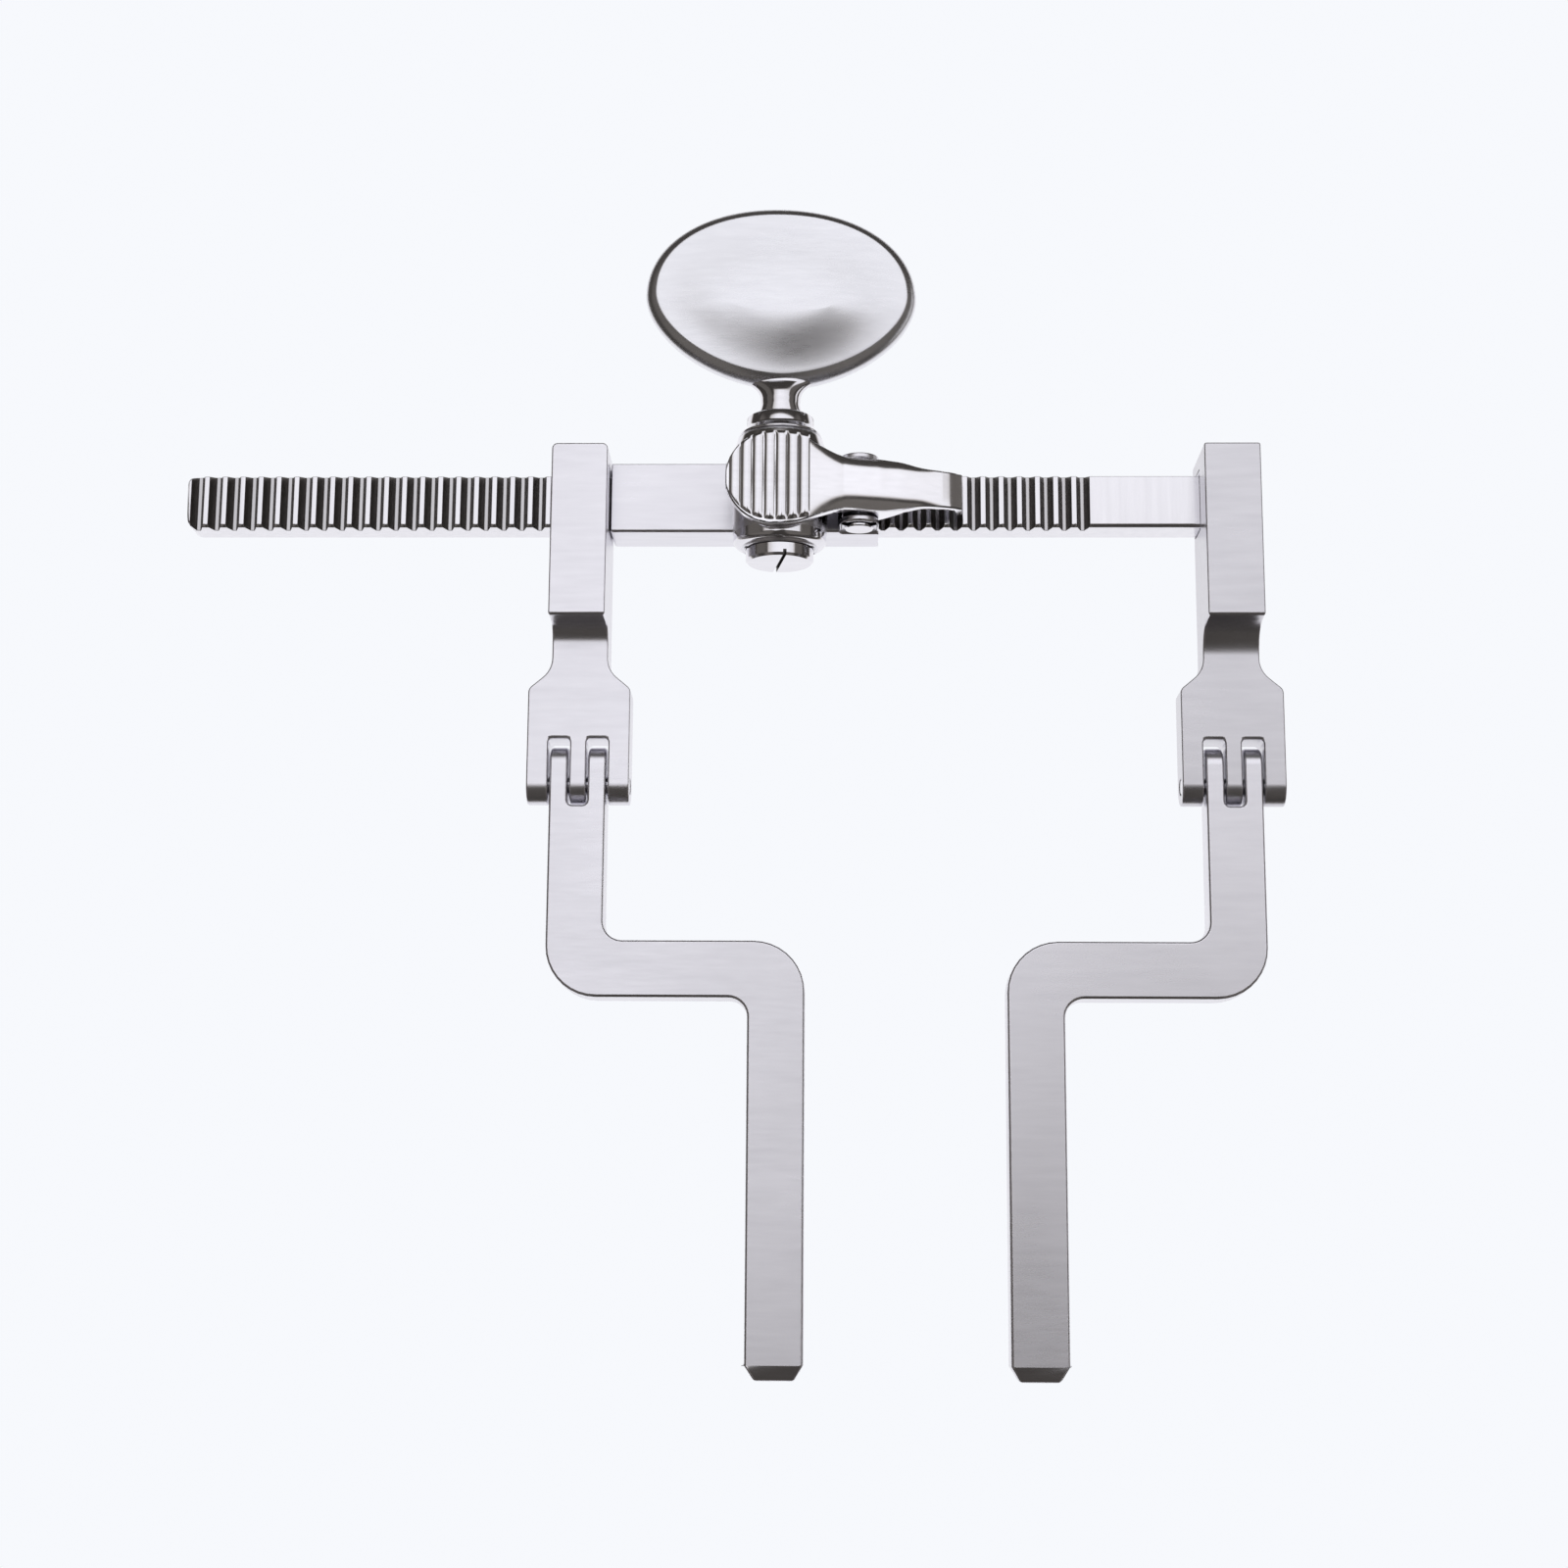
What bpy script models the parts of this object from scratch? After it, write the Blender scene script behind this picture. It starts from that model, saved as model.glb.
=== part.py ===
# Self-retaining spinal retractor frame: a toothed crossbar with a fixed arm at its right end, and a slider
# with a rack pinion, thumb key and release lever that carries the moving arm. Both arms hang from
# five-knuckle hinges and end in bevelled posts for blades.
#
# Frame of the part: +X along the crossbar towards the fixed arm, +Y towards the thumb key, +Z out of the
# flat back. The origin lies on the back face of the fixed arm's base, on the crossbar's centreline.
import math

import bmesh
import bpy
import numpy as np
from mathutils import Matrix, Vector

MM = 0.001

# Bars and clearances
BAR_WIDTH = 8.0 * MM
ARM_THICKNESS = 5.5 * MM
SLIDE_GAP = 0.2 * MM
SEAT_GAP = 0.2 * MM
PIN_GAP = 0.15 * MM
EDGE = 0.35 * MM

# Crossbar and its teeth
RACK_THICKNESS = 5.4 * MM
RACK_LEFT = -150.0 * MM
RACK_END_RADIUS = 1.3 * MM
TOOTH_PITCH = 2.61 * MM
GROOVE_COUNT = 50
LAST_GROOVE_X = -20.7 * MM
PRESSURE_ANGLE = math.radians(20.0)
DEDENDUM_SHARE = 1.25
RACK_TENON = 6.0 * MM
DOWEL_RADIUS = 0.9 * MM
DOWEL_INSET = 3.0 * MM
DOWEL_DEPTH = 12.5 * MM

# Slider housing
HOUSING_SIDE_WALL = 0.9 * MM
HOUSING_BACK_WALL = 0.8 * MM
HOUSING_FRONT_WALL = 1.0 * MM
HOUSING_RIGHT = -50.1 * MM

# Pinion, its barrel and the two end fittings
PINION_X = -64.2 * MM
PINION_TEETH = 8
PINION_BACKLASH = 0.06 * MM
BARREL_RADIUS = 6.7 * MM
BARREL_UPPER_MOUTH = 6.0 * MM
BARREL_LOWER_MOUTH = 5.3 * MM
BARREL_CONE = 2.3 * MM
BARREL_HALF = 8.3 * MM
BARREL_BORE_GAP = 0.25 * MM
BUSH_RADIUS = 5.8 * MM
BUSH_TOP_RADIUS = 4.2 * MM
BUSH_EDGE = 0.4 * MM
BUSH_HEIGHT = 2.9 * MM
PLUG_RADIUS = 4.85 * MM
PLUG_HEIGHT = 1.8 * MM
UPPER_JOURNAL_RADIUS = 2.2 * MM
LOWER_JOURNAL_RADIUS = 1.7 * MM
SLOT_WIDTH = 0.5 * MM
SLOT_DEPTH = 0.8 * MM
SLOT_TURN = math.radians(10.0)

# Thumb key
KEY_HALF_WIDTH = 19.6 * MM
KEY_HALF_HEIGHT = 13.7 * MM
KEY_THICKNESS = 4.6 * MM
KEY_RIM_BULGE = 1.2 * MM
KEY_CROWN = 0.9 * MM
KEY_UPPER_POWER = 2.1
KEY_LOWER_POWER = 1.78
KEY_TURN = math.radians(3.0)
STEM_SHOULDER_RADIUS = 2.9 * MM
STEM_NECK_RADIUS = 2.65 * MM
STEM_FLARE_RADIUS = 4.4 * MM
STEM_NECK_HEIGHT = 1.6 * MM
STEM_LENGTH = 4.0 * MM
STEM_ROOT = 2.6 * MM
WASHER_THICKNESS = 0.4 * MM
WASHER_RADIUS = 3.1 * MM
TENON_RADIUS = 1.2 * MM
TENON_LENGTH = 4.6 * MM
CROSS_PIN_RADIUS = 0.5 * MM

# Release lever. Each section gives its share of the way from the pad's centre to the tip, the half width, the
# drop of the rim below the pad's rim, and the crown's height above the rim.
PAD_CENTRE_X = -64.9 * MM
PAD_RADIUS = 6.8 * MM
LEVER_RIM = 1.5 * MM
PAD_CLEARANCE = 0.25 * MM
LEVER_SECTIONS = (
    (0.000, 6.80 * MM, 0.00 * MM, 0.25 * MM),
    (0.132, 6.40 * MM, 0.24 * MM, 0.30 * MM),
    (0.260, 4.85 * MM, 1.50 * MM, 0.80 * MM),
    (0.366, 3.90 * MM, 2.75 * MM, 1.40 * MM),
    (0.562, 3.88 * MM, 4.15 * MM, 1.70 * MM),
    (0.679, 3.50 * MM, 4.55 * MM, 1.10 * MM),
    (0.785, 2.85 * MM, 5.00 * MM, 0.50 * MM),
    (0.890, 2.68 * MM, 5.80 * MM, 0.20 * MM),
    (0.943, 2.65 * MM, 6.40 * MM, 0.10 * MM),
    (1.000, 2.60 * MM, 7.30 * MM, 0.04 * MM),
)
RIB_COUNT = 7
RIB_PITCH = 1.65 * MM
RIB_WIDTH = 1.0 * MM
RIB_CREST = 0.4 * MM
RIB_HEIGHT = 0.4 * MM
RIB_INSET = 0.5 * MM
FIRST_RIB = -4.6 * MM
PIVOT_X = -52.9 * MM
PIVOT_Z = 10.2 * MM
PIVOT_RADIUS = 1.1 * MM
PIVOT_HEAD_RADIUS = 2.1 * MM
PIVOT_HEAD_THICKNESS = 0.35 * MM
HUB_RAMP = 6.3 * MM
HUB_CLEARANCE = 0.15 * MM
EAR_THICKNESS = 0.95 * MM
PAWL_GROOVE = 7
PAWL_LIFT = math.radians(7.5)
PAWL_ROOT_GAP = 0.3 * MM
PAWL_TIP_WIDTH = 0.4 * MM
PAWL_BACK_RUN = 0.75 * MM

# Arm bases: block, neck and hinge knuckles
ARM_SPREAD = 92.7 * MM
BLOCK_TOP = 6.8 * MM
BLOCK_BOTTOM = -18.5 * MM
BLOCK_DEPTH = 12.0 * MM
NECK_FILLET_FIXED = 4.2 * MM
NECK_FILLET_MOVING = 2.6 * MM
BLOCK_CORNER = 0.8 * MM
NECK_END = -23.2 * MM
FLARE_RADIUS = 3.6 * MM
FLARE_ANGLE = math.radians(50.0)
SHOULDER_RADIUS = 1.2 * MM
HINGE_WIDTH = 14.6 * MM
HINGE_Y = -41.3 * MM
SLOT_FLOOR = 6.4 * MM
MIDDLE_KNUCKLE = 2.34 * MM
KNUCKLE_SIDE_GAP = 0.27 * MM
HINGE_PIN_RADIUS = 1.15 * MM

# Blade arms
FINGER_REACH = 5.5 * MM
ARM_SLOT_DEPTH = 3.2 * MM
CROSS_TOP = -63.7 * MM
ARM_JOG = 28.3 * MM
ARM_TIP = -123.7 * MM
OUTER_BEND = 7.2 * MM
INNER_BEND = 2.7 * MM
TIP_BEVEL_SIDE = 1.25 * MM
TIP_BEVEL_LENGTH = 2.1 * MM

# Places that follow from the sizes
HALF_BAR = BAR_WIDTH / 2
RACK_BACK = HOUSING_BACK_WALL + SLIDE_GAP
RACK_FRONT = RACK_BACK + RACK_THICKNESS
HOUSING_HALF = HALF_BAR + SLIDE_GAP + HOUSING_SIDE_WALL
HOUSING_FRONT = RACK_FRONT + SLIDE_GAP + HOUSING_FRONT_WALL
MODULE = TOOTH_PITCH / math.pi
DEDENDUM = DEDENDUM_SHARE * MODULE
PITCH_LINE = RACK_FRONT - MODULE
PITCH_RADIUS = PINION_TEETH * MODULE / 2
PINION_Z = PITCH_LINE + PITCH_RADIUS
BORE_RADIUS = PITCH_RADIUS + MODULE + BARREL_BORE_GAP
BARREL_STRAIGHT = BARREL_HALF - BARREL_CONE
BUSH_END = BARREL_HALF + SEAT_GAP / 2 + BUSH_HEIGHT
PLUG_END = BARREL_HALF + SEAT_GAP / 2 + PLUG_HEIGHT
STEM_FOOT = BUSH_END + WASHER_THICKNESS + SEAT_GAP
KEY_CENTRE_Y = STEM_FOOT + STEM_LENGTH + KEY_HALF_HEIGHT
PAD_RIM = PINION_Z + BARREL_RADIUS + PAD_CLEARANCE + LEVER_RIM
EAR_INNER = HOUSING_HALF - EAR_THICKNESS
EAR_RADIUS = HOUSING_RIGHT - PIVOT_X
HUB_RADIUS = PIVOT_Z - HOUSING_FRONT - HUB_CLEARANCE
MOVING_X = -ARM_SPREAD
CORNER_STEPS = 6
ROUND_STEPS = 40
PIN_STEPS = 20


def material(name, colour, roughness):
    made = bpy.data.materials.get(name) or bpy.data.materials.new(name)
    made.use_nodes = True
    shader = made.node_tree.nodes["Principled BSDF"]
    shader.inputs["Base Color"].default_value = (*colour, 1.0)
    shader.inputs["Metallic"].default_value = 1.0
    shader.inputs["Roughness"].default_value = roughness
    return made


def satin_steel():
    return material("satin_steel", (0.62, 0.61, 0.65), 0.34)


def polished_steel():
    return material("polished_steel", (0.72, 0.71, 0.74), 0.14)


def clear_scene():
    for old in list(bpy.data.objects):
        bpy.data.objects.remove(old)


def link(name, bm, finish=None, origin=(0.0, 0.0, 0.0)):
    """Makes an object from a bmesh, with its origin at the given point."""
    bmesh.ops.translate(bm, verts=bm.verts, vec=-Vector(origin))
    bmesh.ops.recalc_face_normals(bm, faces=bm.faces)
    mesh = bpy.data.meshes.new(name)
    bm.to_mesh(mesh)
    bm.free()
    made = bpy.data.objects.new(name, mesh)
    made.location = origin
    bpy.context.scene.collection.objects.link(made)
    if finish:
        mesh.materials.append(finish)
    return made


def arc(centre, radius, start, end, steps=CORNER_STEPS):
    """Points of an arc, with angles in radians."""
    return [
        (centre[0] + radius * math.cos(start + (end - start) * i / steps),
         centre[1] + radius * math.sin(start + (end - start) * i / steps))
        for i in range(steps + 1)
    ]


def rounded(corners, steps=CORNER_STEPS):
    """Outline through (x, y, radius) corners, each rounded by its own radius where that is above zero."""
    points = []
    for i, (x, y, radius) in enumerate(corners):
        here = Vector((x, y))
        if radius <= 0:
            points.append((x, y))
            continue
        before = (Vector(corners[i - 1][:2]) - here).normalized()
        after = (Vector(corners[(i + 1) % len(corners)][:2]) - here).normalized()
        half = before.angle(after) / 2
        centre = here + (before + after).normalized() * radius / math.sin(half)
        first = here + before * radius / math.tan(half) - centre
        turn = first.angle_signed(here + after * radius / math.tan(half) - centre)
        for step in range(steps + 1):
            spoke = first.copy()
            spoke.rotate(Matrix.Rotation(-turn * step / steps, 2))
            points.append(tuple(centre + spoke))
    return points


def prism(outline, axis, low, high):
    """Solid made by extruding a closed outline along an axis: (x, y) along Z, (y, z) along X, (x, z) along Y."""
    place = {
        "X": lambda a, b, c: (c, a, b),
        "Y": lambda a, b, c: (a, c, b),
        "Z": lambda a, b, c: (a, b, c),
    }[axis]
    bm = bmesh.new()
    base = bm.faces.new([bm.verts.new(place(a, b, low)) for a, b in outline])
    grown = bmesh.ops.extrude_face_region(bm, geom=[base])["geom"]
    moved = [v for v in grown if isinstance(v, bmesh.types.BMVert)]
    bmesh.ops.translate(bm, verts=moved, vec=Vector(place(0.0, 0.0, high - low)))
    return bm


def box(low, high):
    corners = [(low[0], low[1]), (high[0], low[1]), (high[0], high[1]), (low[0], high[1])]
    return prism(corners, "Z", low[2], high[2])


def turned(profile, centre, axis, steps=ROUND_STEPS):
    """Solid of revolution from (radius, height) pairs, with heights measured along the axis from the centre."""
    bm = bmesh.new()
    verts = [bm.verts.new((radius, 0.0, height)) for radius, height in profile]
    edges = [bm.edges.new(pair) for pair in zip(verts, verts[1:])]
    bmesh.ops.spin(
        bm, geom=verts + edges, cent=(0, 0, 0), axis=(0, 0, 1), angle=2 * math.pi, steps=steps, use_merge=True
    )
    bmesh.ops.remove_doubles(bm, verts=bm.verts, dist=1e-7)
    turn = {"X": Matrix.Rotation(math.pi / 2, 4, "Y"), "Y": Matrix.Rotation(-math.pi / 2, 4, "X")}[axis]
    bmesh.ops.transform(bm, matrix=Matrix.Translation(centre) @ turn, verts=bm.verts)
    return bm


def rod(radius, low, high, centre, axis, chamfer=0.0, steps=PIN_STEPS):
    """Cylinder along an axis, from low to high measured from the centre, with chamfered ends if asked."""
    profile = [(0.0, low), (radius - chamfer, low), (radius, low + chamfer)]
    profile += [(radius, high - chamfer), (radius - chamfer, high), (0.0, high)]
    if not chamfer:
        profile = [(0.0, low), (radius, low), (radius, high), (0.0, high)]
    return turned(profile, centre, axis, steps)


def combine(target, tool_mesh, operation):
    """Cuts, joins or crosses the target with a tool, which stays as a hidden wire object."""
    tool = link(target.name + "_tool", tool_mesh)
    tool.hide_render = True
    tool.display_type = "WIRE"
    tool.hide_set(True)
    step = target.modifiers.new(operation.lower(), "BOOLEAN")
    step.operation = operation
    step.solver = "EXACT"
    step.object = tool
    tool.parent = target
    tool.matrix_parent_inverse = Matrix.Translation(target.location).inverted()


def soften(target, width=EDGE, segments=2, angle=50.0):
    """Small bevel along the piece's sharp edges."""
    bevel = target.modifiers.new("edges", "BEVEL")
    bevel.width = width
    bevel.segments = segments
    bevel.limit_method = "ANGLE"
    bevel.angle_limit = math.radians(angle)
    bevel.harden_normals = False


def smooth(target, angle=35.0):
    target.data.shade_smooth()
    target.data.set_sharp_from_angle(angle=math.radians(angle))


def groove_x(index):
    return LAST_GROOVE_X - TOOTH_PITCH * index


def groove_half(height):
    """Half the width of a tooth groove at a height above the pitch line."""
    return TOOTH_PITCH / 4 + height * math.tan(PRESSURE_ANGLE)


def rack_profile():
    """Side view of the crossbar in (x, z), with a groove cut for every tooth space."""
    right = -HALF_BAR + RACK_TENON
    points = [(RACK_LEFT, RACK_BACK), (right, RACK_BACK), (right, RACK_FRONT)]
    root = PITCH_LINE - DEDENDUM
    for index in range(GROOVE_COUNT):
        middle = groove_x(index)
        mouth = groove_half(MODULE)
        floor = groove_half(-DEDENDUM)
        points += [(middle + mouth, RACK_FRONT), (middle + floor, root)]
        points += [(middle - floor, root), (middle - mouth, RACK_FRONT)]
    points.append((RACK_LEFT, RACK_FRONT))
    return points


def make_rack():
    bar = link("rack_bar", prism(rack_profile(), "Y", -HALF_BAR, HALF_BAR), satin_steel())
    right = -HALF_BAR + RACK_TENON + SEAT_GAP
    ends = [(RACK_LEFT, -HALF_BAR, RACK_END_RADIUS), (right, -HALF_BAR, 0.0)]
    ends += [(right, HALF_BAR, 0.0), (RACK_LEFT, HALF_BAR, RACK_END_RADIUS)]
    combine(bar, prism(rounded(ends), "Z", 0.0, BLOCK_DEPTH), "INTERSECT")
    hole = rod(DOWEL_RADIUS + PIN_GAP, -BAR_WIDTH, BAR_WIDTH, dowel_centre(), "Y")
    combine(bar, hole, "DIFFERENCE")
    return bar


def dowel_centre():
    return Vector((-HALF_BAR + DOWEL_INSET, 0.0, (RACK_BACK + RACK_FRONT) / 2))


def make_dowel():
    low = BLOCK_TOP - DOWEL_DEPTH + SEAT_GAP
    pin = rod(DOWEL_RADIUS, low, BLOCK_TOP - SEAT_GAP, dowel_centre(), "Y", chamfer=PIN_GAP)
    made = link("rack_dowel", pin, polished_steel())
    smooth(made)
    return made


def base_side_profile(fillet):
    """Side view of an arm base in (y, z): tall block, filleted step, thin neck and a full-round knuckle."""
    radius = ARM_THICKNESS / 2
    points = [(BLOCK_TOP, 0.0), (BLOCK_TOP, BLOCK_DEPTH), (BLOCK_BOTTOM, BLOCK_DEPTH)]
    step = (BLOCK_BOTTOM - fillet, ARM_THICKNESS + fillet)
    points += arc(step, fillet, 0.0, -math.pi / 2)
    points += arc((HINGE_Y, radius), radius, math.pi / 2, 3 * math.pi / 2, 2 * CORNER_STEPS)
    return points


def base_plan(corner):
    """Front view of an arm base in (x, y), centred on x = 0: block, neck, flare and hinge cheeks."""
    half = HINGE_WIDTH / 2
    end = HINGE_Y - ARM_THICKNESS
    side = arc((HALF_BAR + FLARE_RADIUS, NECK_END), FLARE_RADIUS, math.pi, math.pi + FLARE_ANGLE)
    foot = side[-1]
    run = half - foot[0]
    shoulder = (half, foot[1] - run / math.tan(FLARE_ANGLE))
    corners = [(HALF_BAR, BLOCK_TOP, corner)]
    corners += [(x, y, 0.0) for x, y in side]
    corners += [(*shoulder, SHOULDER_RADIUS), (half, end, 0.0)]
    mirrored = [(-x, y, radius) for x, y, radius in reversed(corners)]
    return rounded(corners + mirrored)


def make_base(name, centre_x, fillet, corner):
    """Arm base: the front view crossed with the side view, with two finger slots and a hinge bore."""
    outline = [(x + centre_x, y) for x, y in base_plan(corner)]
    base = link(name, prism(outline, "Z", -BAR_WIDTH, BLOCK_DEPTH + BAR_WIDTH), satin_steel())
    reach = HINGE_WIDTH
    side = prism(base_side_profile(fillet), "X", centre_x - reach, centre_x + reach)
    combine(base, side, "INTERSECT")
    inner = MIDDLE_KNUCKLE / 2
    outer = HALF_BAR + KNUCKLE_SIDE_GAP
    top = HINGE_Y + SLOT_FLOOR
    for sign in (-1, 1):
        xs = sorted((centre_x + sign * inner, centre_x + sign * outer))
        round_off = (outer - inner) / 6
        slot = [(xs[0], HINGE_Y - BAR_WIDTH, 0.0), (xs[1], HINGE_Y - BAR_WIDTH, 0.0)]
        slot += [(xs[1], top, round_off), (xs[0], top, round_off)]
        combine(base, prism(rounded(slot, 3), "Z", -BAR_WIDTH, BAR_WIDTH), "DIFFERENCE")
    centre = hinge_centre(centre_x)
    combine(base, rod(HINGE_PIN_RADIUS + PIN_GAP, -reach, reach, centre, "X"), "DIFFERENCE")
    return base


def hinge_centre(centre_x):
    return Vector((centre_x, HINGE_Y, ARM_THICKNESS / 2))


def make_fixed_base():
    base = make_base("fixed_arm_base", 0.0, NECK_FILLET_FIXED, EDGE)
    gap = SLIDE_GAP
    low = (-BAR_WIDTH, -HALF_BAR - gap, RACK_BACK - gap)
    high = (-HALF_BAR + RACK_TENON + gap, HALF_BAR + gap, RACK_FRONT + gap)
    combine(base, box(low, high), "DIFFERENCE")
    bottom = BLOCK_TOP - DOWEL_DEPTH
    hole = rod(DOWEL_RADIUS + PIN_GAP, bottom, BLOCK_TOP + BAR_WIDTH, dowel_centre(), "Y")
    combine(base, hole, "DIFFERENCE")
    return base


def make_moving_base():
    base = make_base("moving_arm_base", MOVING_X, NECK_FILLET_MOVING, BLOCK_CORNER)
    gap = SLIDE_GAP
    low = (MOVING_X - BAR_WIDTH, -HALF_BAR - gap, RACK_BACK - gap)
    high = (MOVING_X + BAR_WIDTH, HALF_BAR + gap, RACK_FRONT + gap)
    combine(base, box(low, high), "DIFFERENCE")
    return base


def make_hinge_pin(name, centre_x):
    half = HINGE_WIDTH / 2 - SEAT_GAP / 2
    pin = rod(HINGE_PIN_RADIUS, -half, half, hinge_centre(centre_x), "X", chamfer=PIN_GAP)
    made = link(name, pin, polished_steel(), origin=hinge_centre(centre_x))
    smooth(made)
    return made


def arm_plan(direction):
    """Front view of a blade arm in (x, y) from the hinge centreline: down, across by the jog, down to the post."""
    half = HALF_BAR
    top = HINGE_Y + FINGER_REACH
    low_cross = CROSS_TOP - BAR_WIDTH
    corners = [(-half, top, 0.0), (-half, low_cross, OUTER_BEND), (ARM_JOG - half, low_cross, INNER_BEND)]
    corners += [(ARM_JOG - half, ARM_TIP, 0.0), (ARM_JOG + half, ARM_TIP, 0.0)]
    corners += [(ARM_JOG + half, CROSS_TOP, OUTER_BEND), (half, CROSS_TOP, INNER_BEND), (half, top, 0.0)]
    points = rounded(corners, 9)
    return [(x * direction, y) for x, y in points]


def arm_side_profile():
    """Side view of a blade arm in (y, z): full-round knuckle end above, bevelled post end below."""
    radius = ARM_THICKNESS / 2
    top = HINGE_Y + FINGER_REACH - radius
    points = arc((top, radius), radius, -math.pi / 2, math.pi / 2, 2 * CORNER_STEPS)
    points += [(ARM_TIP + TIP_BEVEL_LENGTH, ARM_THICKNESS), (ARM_TIP, ARM_THICKNESS - TIP_BEVEL_SIDE)]
    points += [(ARM_TIP, TIP_BEVEL_SIDE), (ARM_TIP + TIP_BEVEL_LENGTH, 0.0)]
    return points


def tip_wedge(post_x, sign):
    """Wedge that bevels one side of a post's end, seen from the front."""
    side = post_x + sign * HALF_BAR
    inside = side - sign * TIP_BEVEL_SIDE
    beyond = side + sign * HALF_BAR
    below = ARM_TIP - TIP_BEVEL_LENGTH
    outside = inside + sign * 2 * TIP_BEVEL_SIDE
    above = ARM_TIP + 2 * TIP_BEVEL_LENGTH
    outline = [(inside, ARM_TIP), (outside, above), (beyond, above), (beyond, below), (inside, below)]
    return prism(outline, "Z", -BAR_WIDTH, BAR_WIDTH)


def make_arm(name, centre_x, direction):
    """Blade arm whose knuckle straddles the middle knuckle of its base and turns about the hinge pin."""
    centre = hinge_centre(centre_x)
    outline = [(x + centre_x, y) for x, y in arm_plan(direction)]
    arm = link(name, prism(outline, "Z", -BAR_WIDTH, BAR_WIDTH * 2), satin_steel(), origin=centre)
    reach = ARM_JOG + BAR_WIDTH
    side = prism(arm_side_profile(), "X", centre_x - reach, centre_x + reach)
    combine(arm, side, "INTERSECT")
    slot_half = MIDDLE_KNUCKLE / 2 + KNUCKLE_SIDE_GAP
    floor = HINGE_Y - ARM_SLOT_DEPTH
    above = HINGE_Y + BAR_WIDTH
    slot = [(centre_x - slot_half, above, 0.0), (centre_x - slot_half, floor, slot_half / 2)]
    slot += [(centre_x + slot_half, floor, slot_half / 2), (centre_x + slot_half, above, 0.0)]
    combine(arm, prism(rounded(slot, 3), "Z", -BAR_WIDTH, BAR_WIDTH), "DIFFERENCE")
    for sign in (-1, 1):
        combine(arm, tip_wedge(centre_x + direction * ARM_JOG, sign), "DIFFERENCE")
    combine(arm, rod(HINGE_PIN_RADIUS + PIN_GAP, -reach, reach, centre, "X"), "DIFFERENCE")
    soften(arm)
    return arm


def barrel_mesh():
    """Barrel round the pinion, turned about the pinion's axis, with coned mouths at both ends."""
    profile = [(0.0, -BARREL_HALF), (BARREL_LOWER_MOUTH, -BARREL_HALF), (BARREL_RADIUS, -BARREL_STRAIGHT)]
    profile += [(BARREL_RADIUS, BARREL_STRAIGHT), (BARREL_UPPER_MOUTH, BARREL_HALF), (0.0, BARREL_HALF)]
    barrel = turned(profile, pinion_centre(), "Y")
    bmesh.ops.dissolve_limit(barrel, angle_limit=math.radians(0.1), verts=barrel.verts, edges=barrel.edges)
    return barrel


def pinion_centre():
    return Vector((PINION_X, 0.0, PINION_Z))


def pivot_centre():
    return Vector((PIVOT_X, 0.0, PIVOT_Z))


def ear_outline():
    """One pivot ear in (x, z): a post that rises from the housing's face into a half round."""
    foot = HOUSING_FRONT - HOUSING_FRONT_WALL / 2
    top = arc((PIVOT_X, PIVOT_Z), EAR_RADIUS, 0.0, math.pi, 2 * CORNER_STEPS)
    return [(PIVOT_X + EAR_RADIUS, foot), *top, (PIVOT_X - EAR_RADIUS, foot)]


def make_housing():
    """Slider housing: a square tube on the crossbar, the pinion barrel across it and the lever's two ears."""
    left = MOVING_X + HALF_BAR + SEAT_GAP
    tube = box((left, -HOUSING_HALF, 0.0), (HOUSING_RIGHT, HOUSING_HALF, HOUSING_FRONT))
    housing = link("slider_housing", tube, satin_steel())
    combine(housing, barrel_mesh(), "UNION")
    for sign in (-1, 1):
        ys = sorted((sign * EAR_INNER, sign * (HOUSING_HALF - SLIDE_GAP / 4)))
        combine(housing, prism(ear_outline(), "Y", *ys), "UNION")
    gap = SLIDE_GAP
    low = (left - BAR_WIDTH, -HALF_BAR - gap, RACK_BACK - gap)
    high = (HOUSING_RIGHT + BAR_WIDTH, HALF_BAR + gap, RACK_FRONT + gap)
    combine(housing, box(low, high), "DIFFERENCE")
    bore = rod(BORE_RADIUS, -2 * BARREL_HALF, 2 * BARREL_HALF, pinion_centre(), "Y", steps=ROUND_STEPS)
    combine(housing, bore, "DIFFERENCE")
    pin = rod(PIVOT_RADIUS + PIN_GAP, -BAR_WIDTH, BAR_WIDTH, pivot_centre(), "Y")
    combine(housing, pin, "DIFFERENCE")
    return housing


def spigot_profile(bore_radius):
    """Half section, in (radius, height), of the spigot that seats an end fitting in the barrel's bore."""
    spigot = BORE_RADIUS - PIN_GAP
    inner = HALF_BAR + 2 * SLIDE_GAP
    seat = BARREL_HALF + SEAT_GAP / 2
    return [(bore_radius, inner), (spigot, inner), (spigot, seat)]


def make_upper_bush():
    """Bush in the barrel's upper mouth, with a collar that sweeps in towards the key's stem."""
    bore = UPPER_JOURNAL_RADIUS + PIN_GAP
    seat = BARREL_HALF + SEAT_GAP / 2
    profile = spigot_profile(bore) + [(BUSH_RADIUS, seat)]
    rise = BUSH_HEIGHT - BUSH_EDGE
    for step in range(CORNER_STEPS + 1):
        share = step / CORNER_STEPS
        radius = BUSH_TOP_RADIUS + (BUSH_RADIUS - BUSH_TOP_RADIUS) * (1 - share) ** 2
        profile.append((radius, seat + BUSH_EDGE + rise * share))
    profile += [(bore, BUSH_END), (bore, HALF_BAR + 2 * SLIDE_GAP)]
    bush = link("upper_bush", turned(profile, pinion_centre(), "Y"), polished_steel())
    smooth(bush)
    return bush


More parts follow.
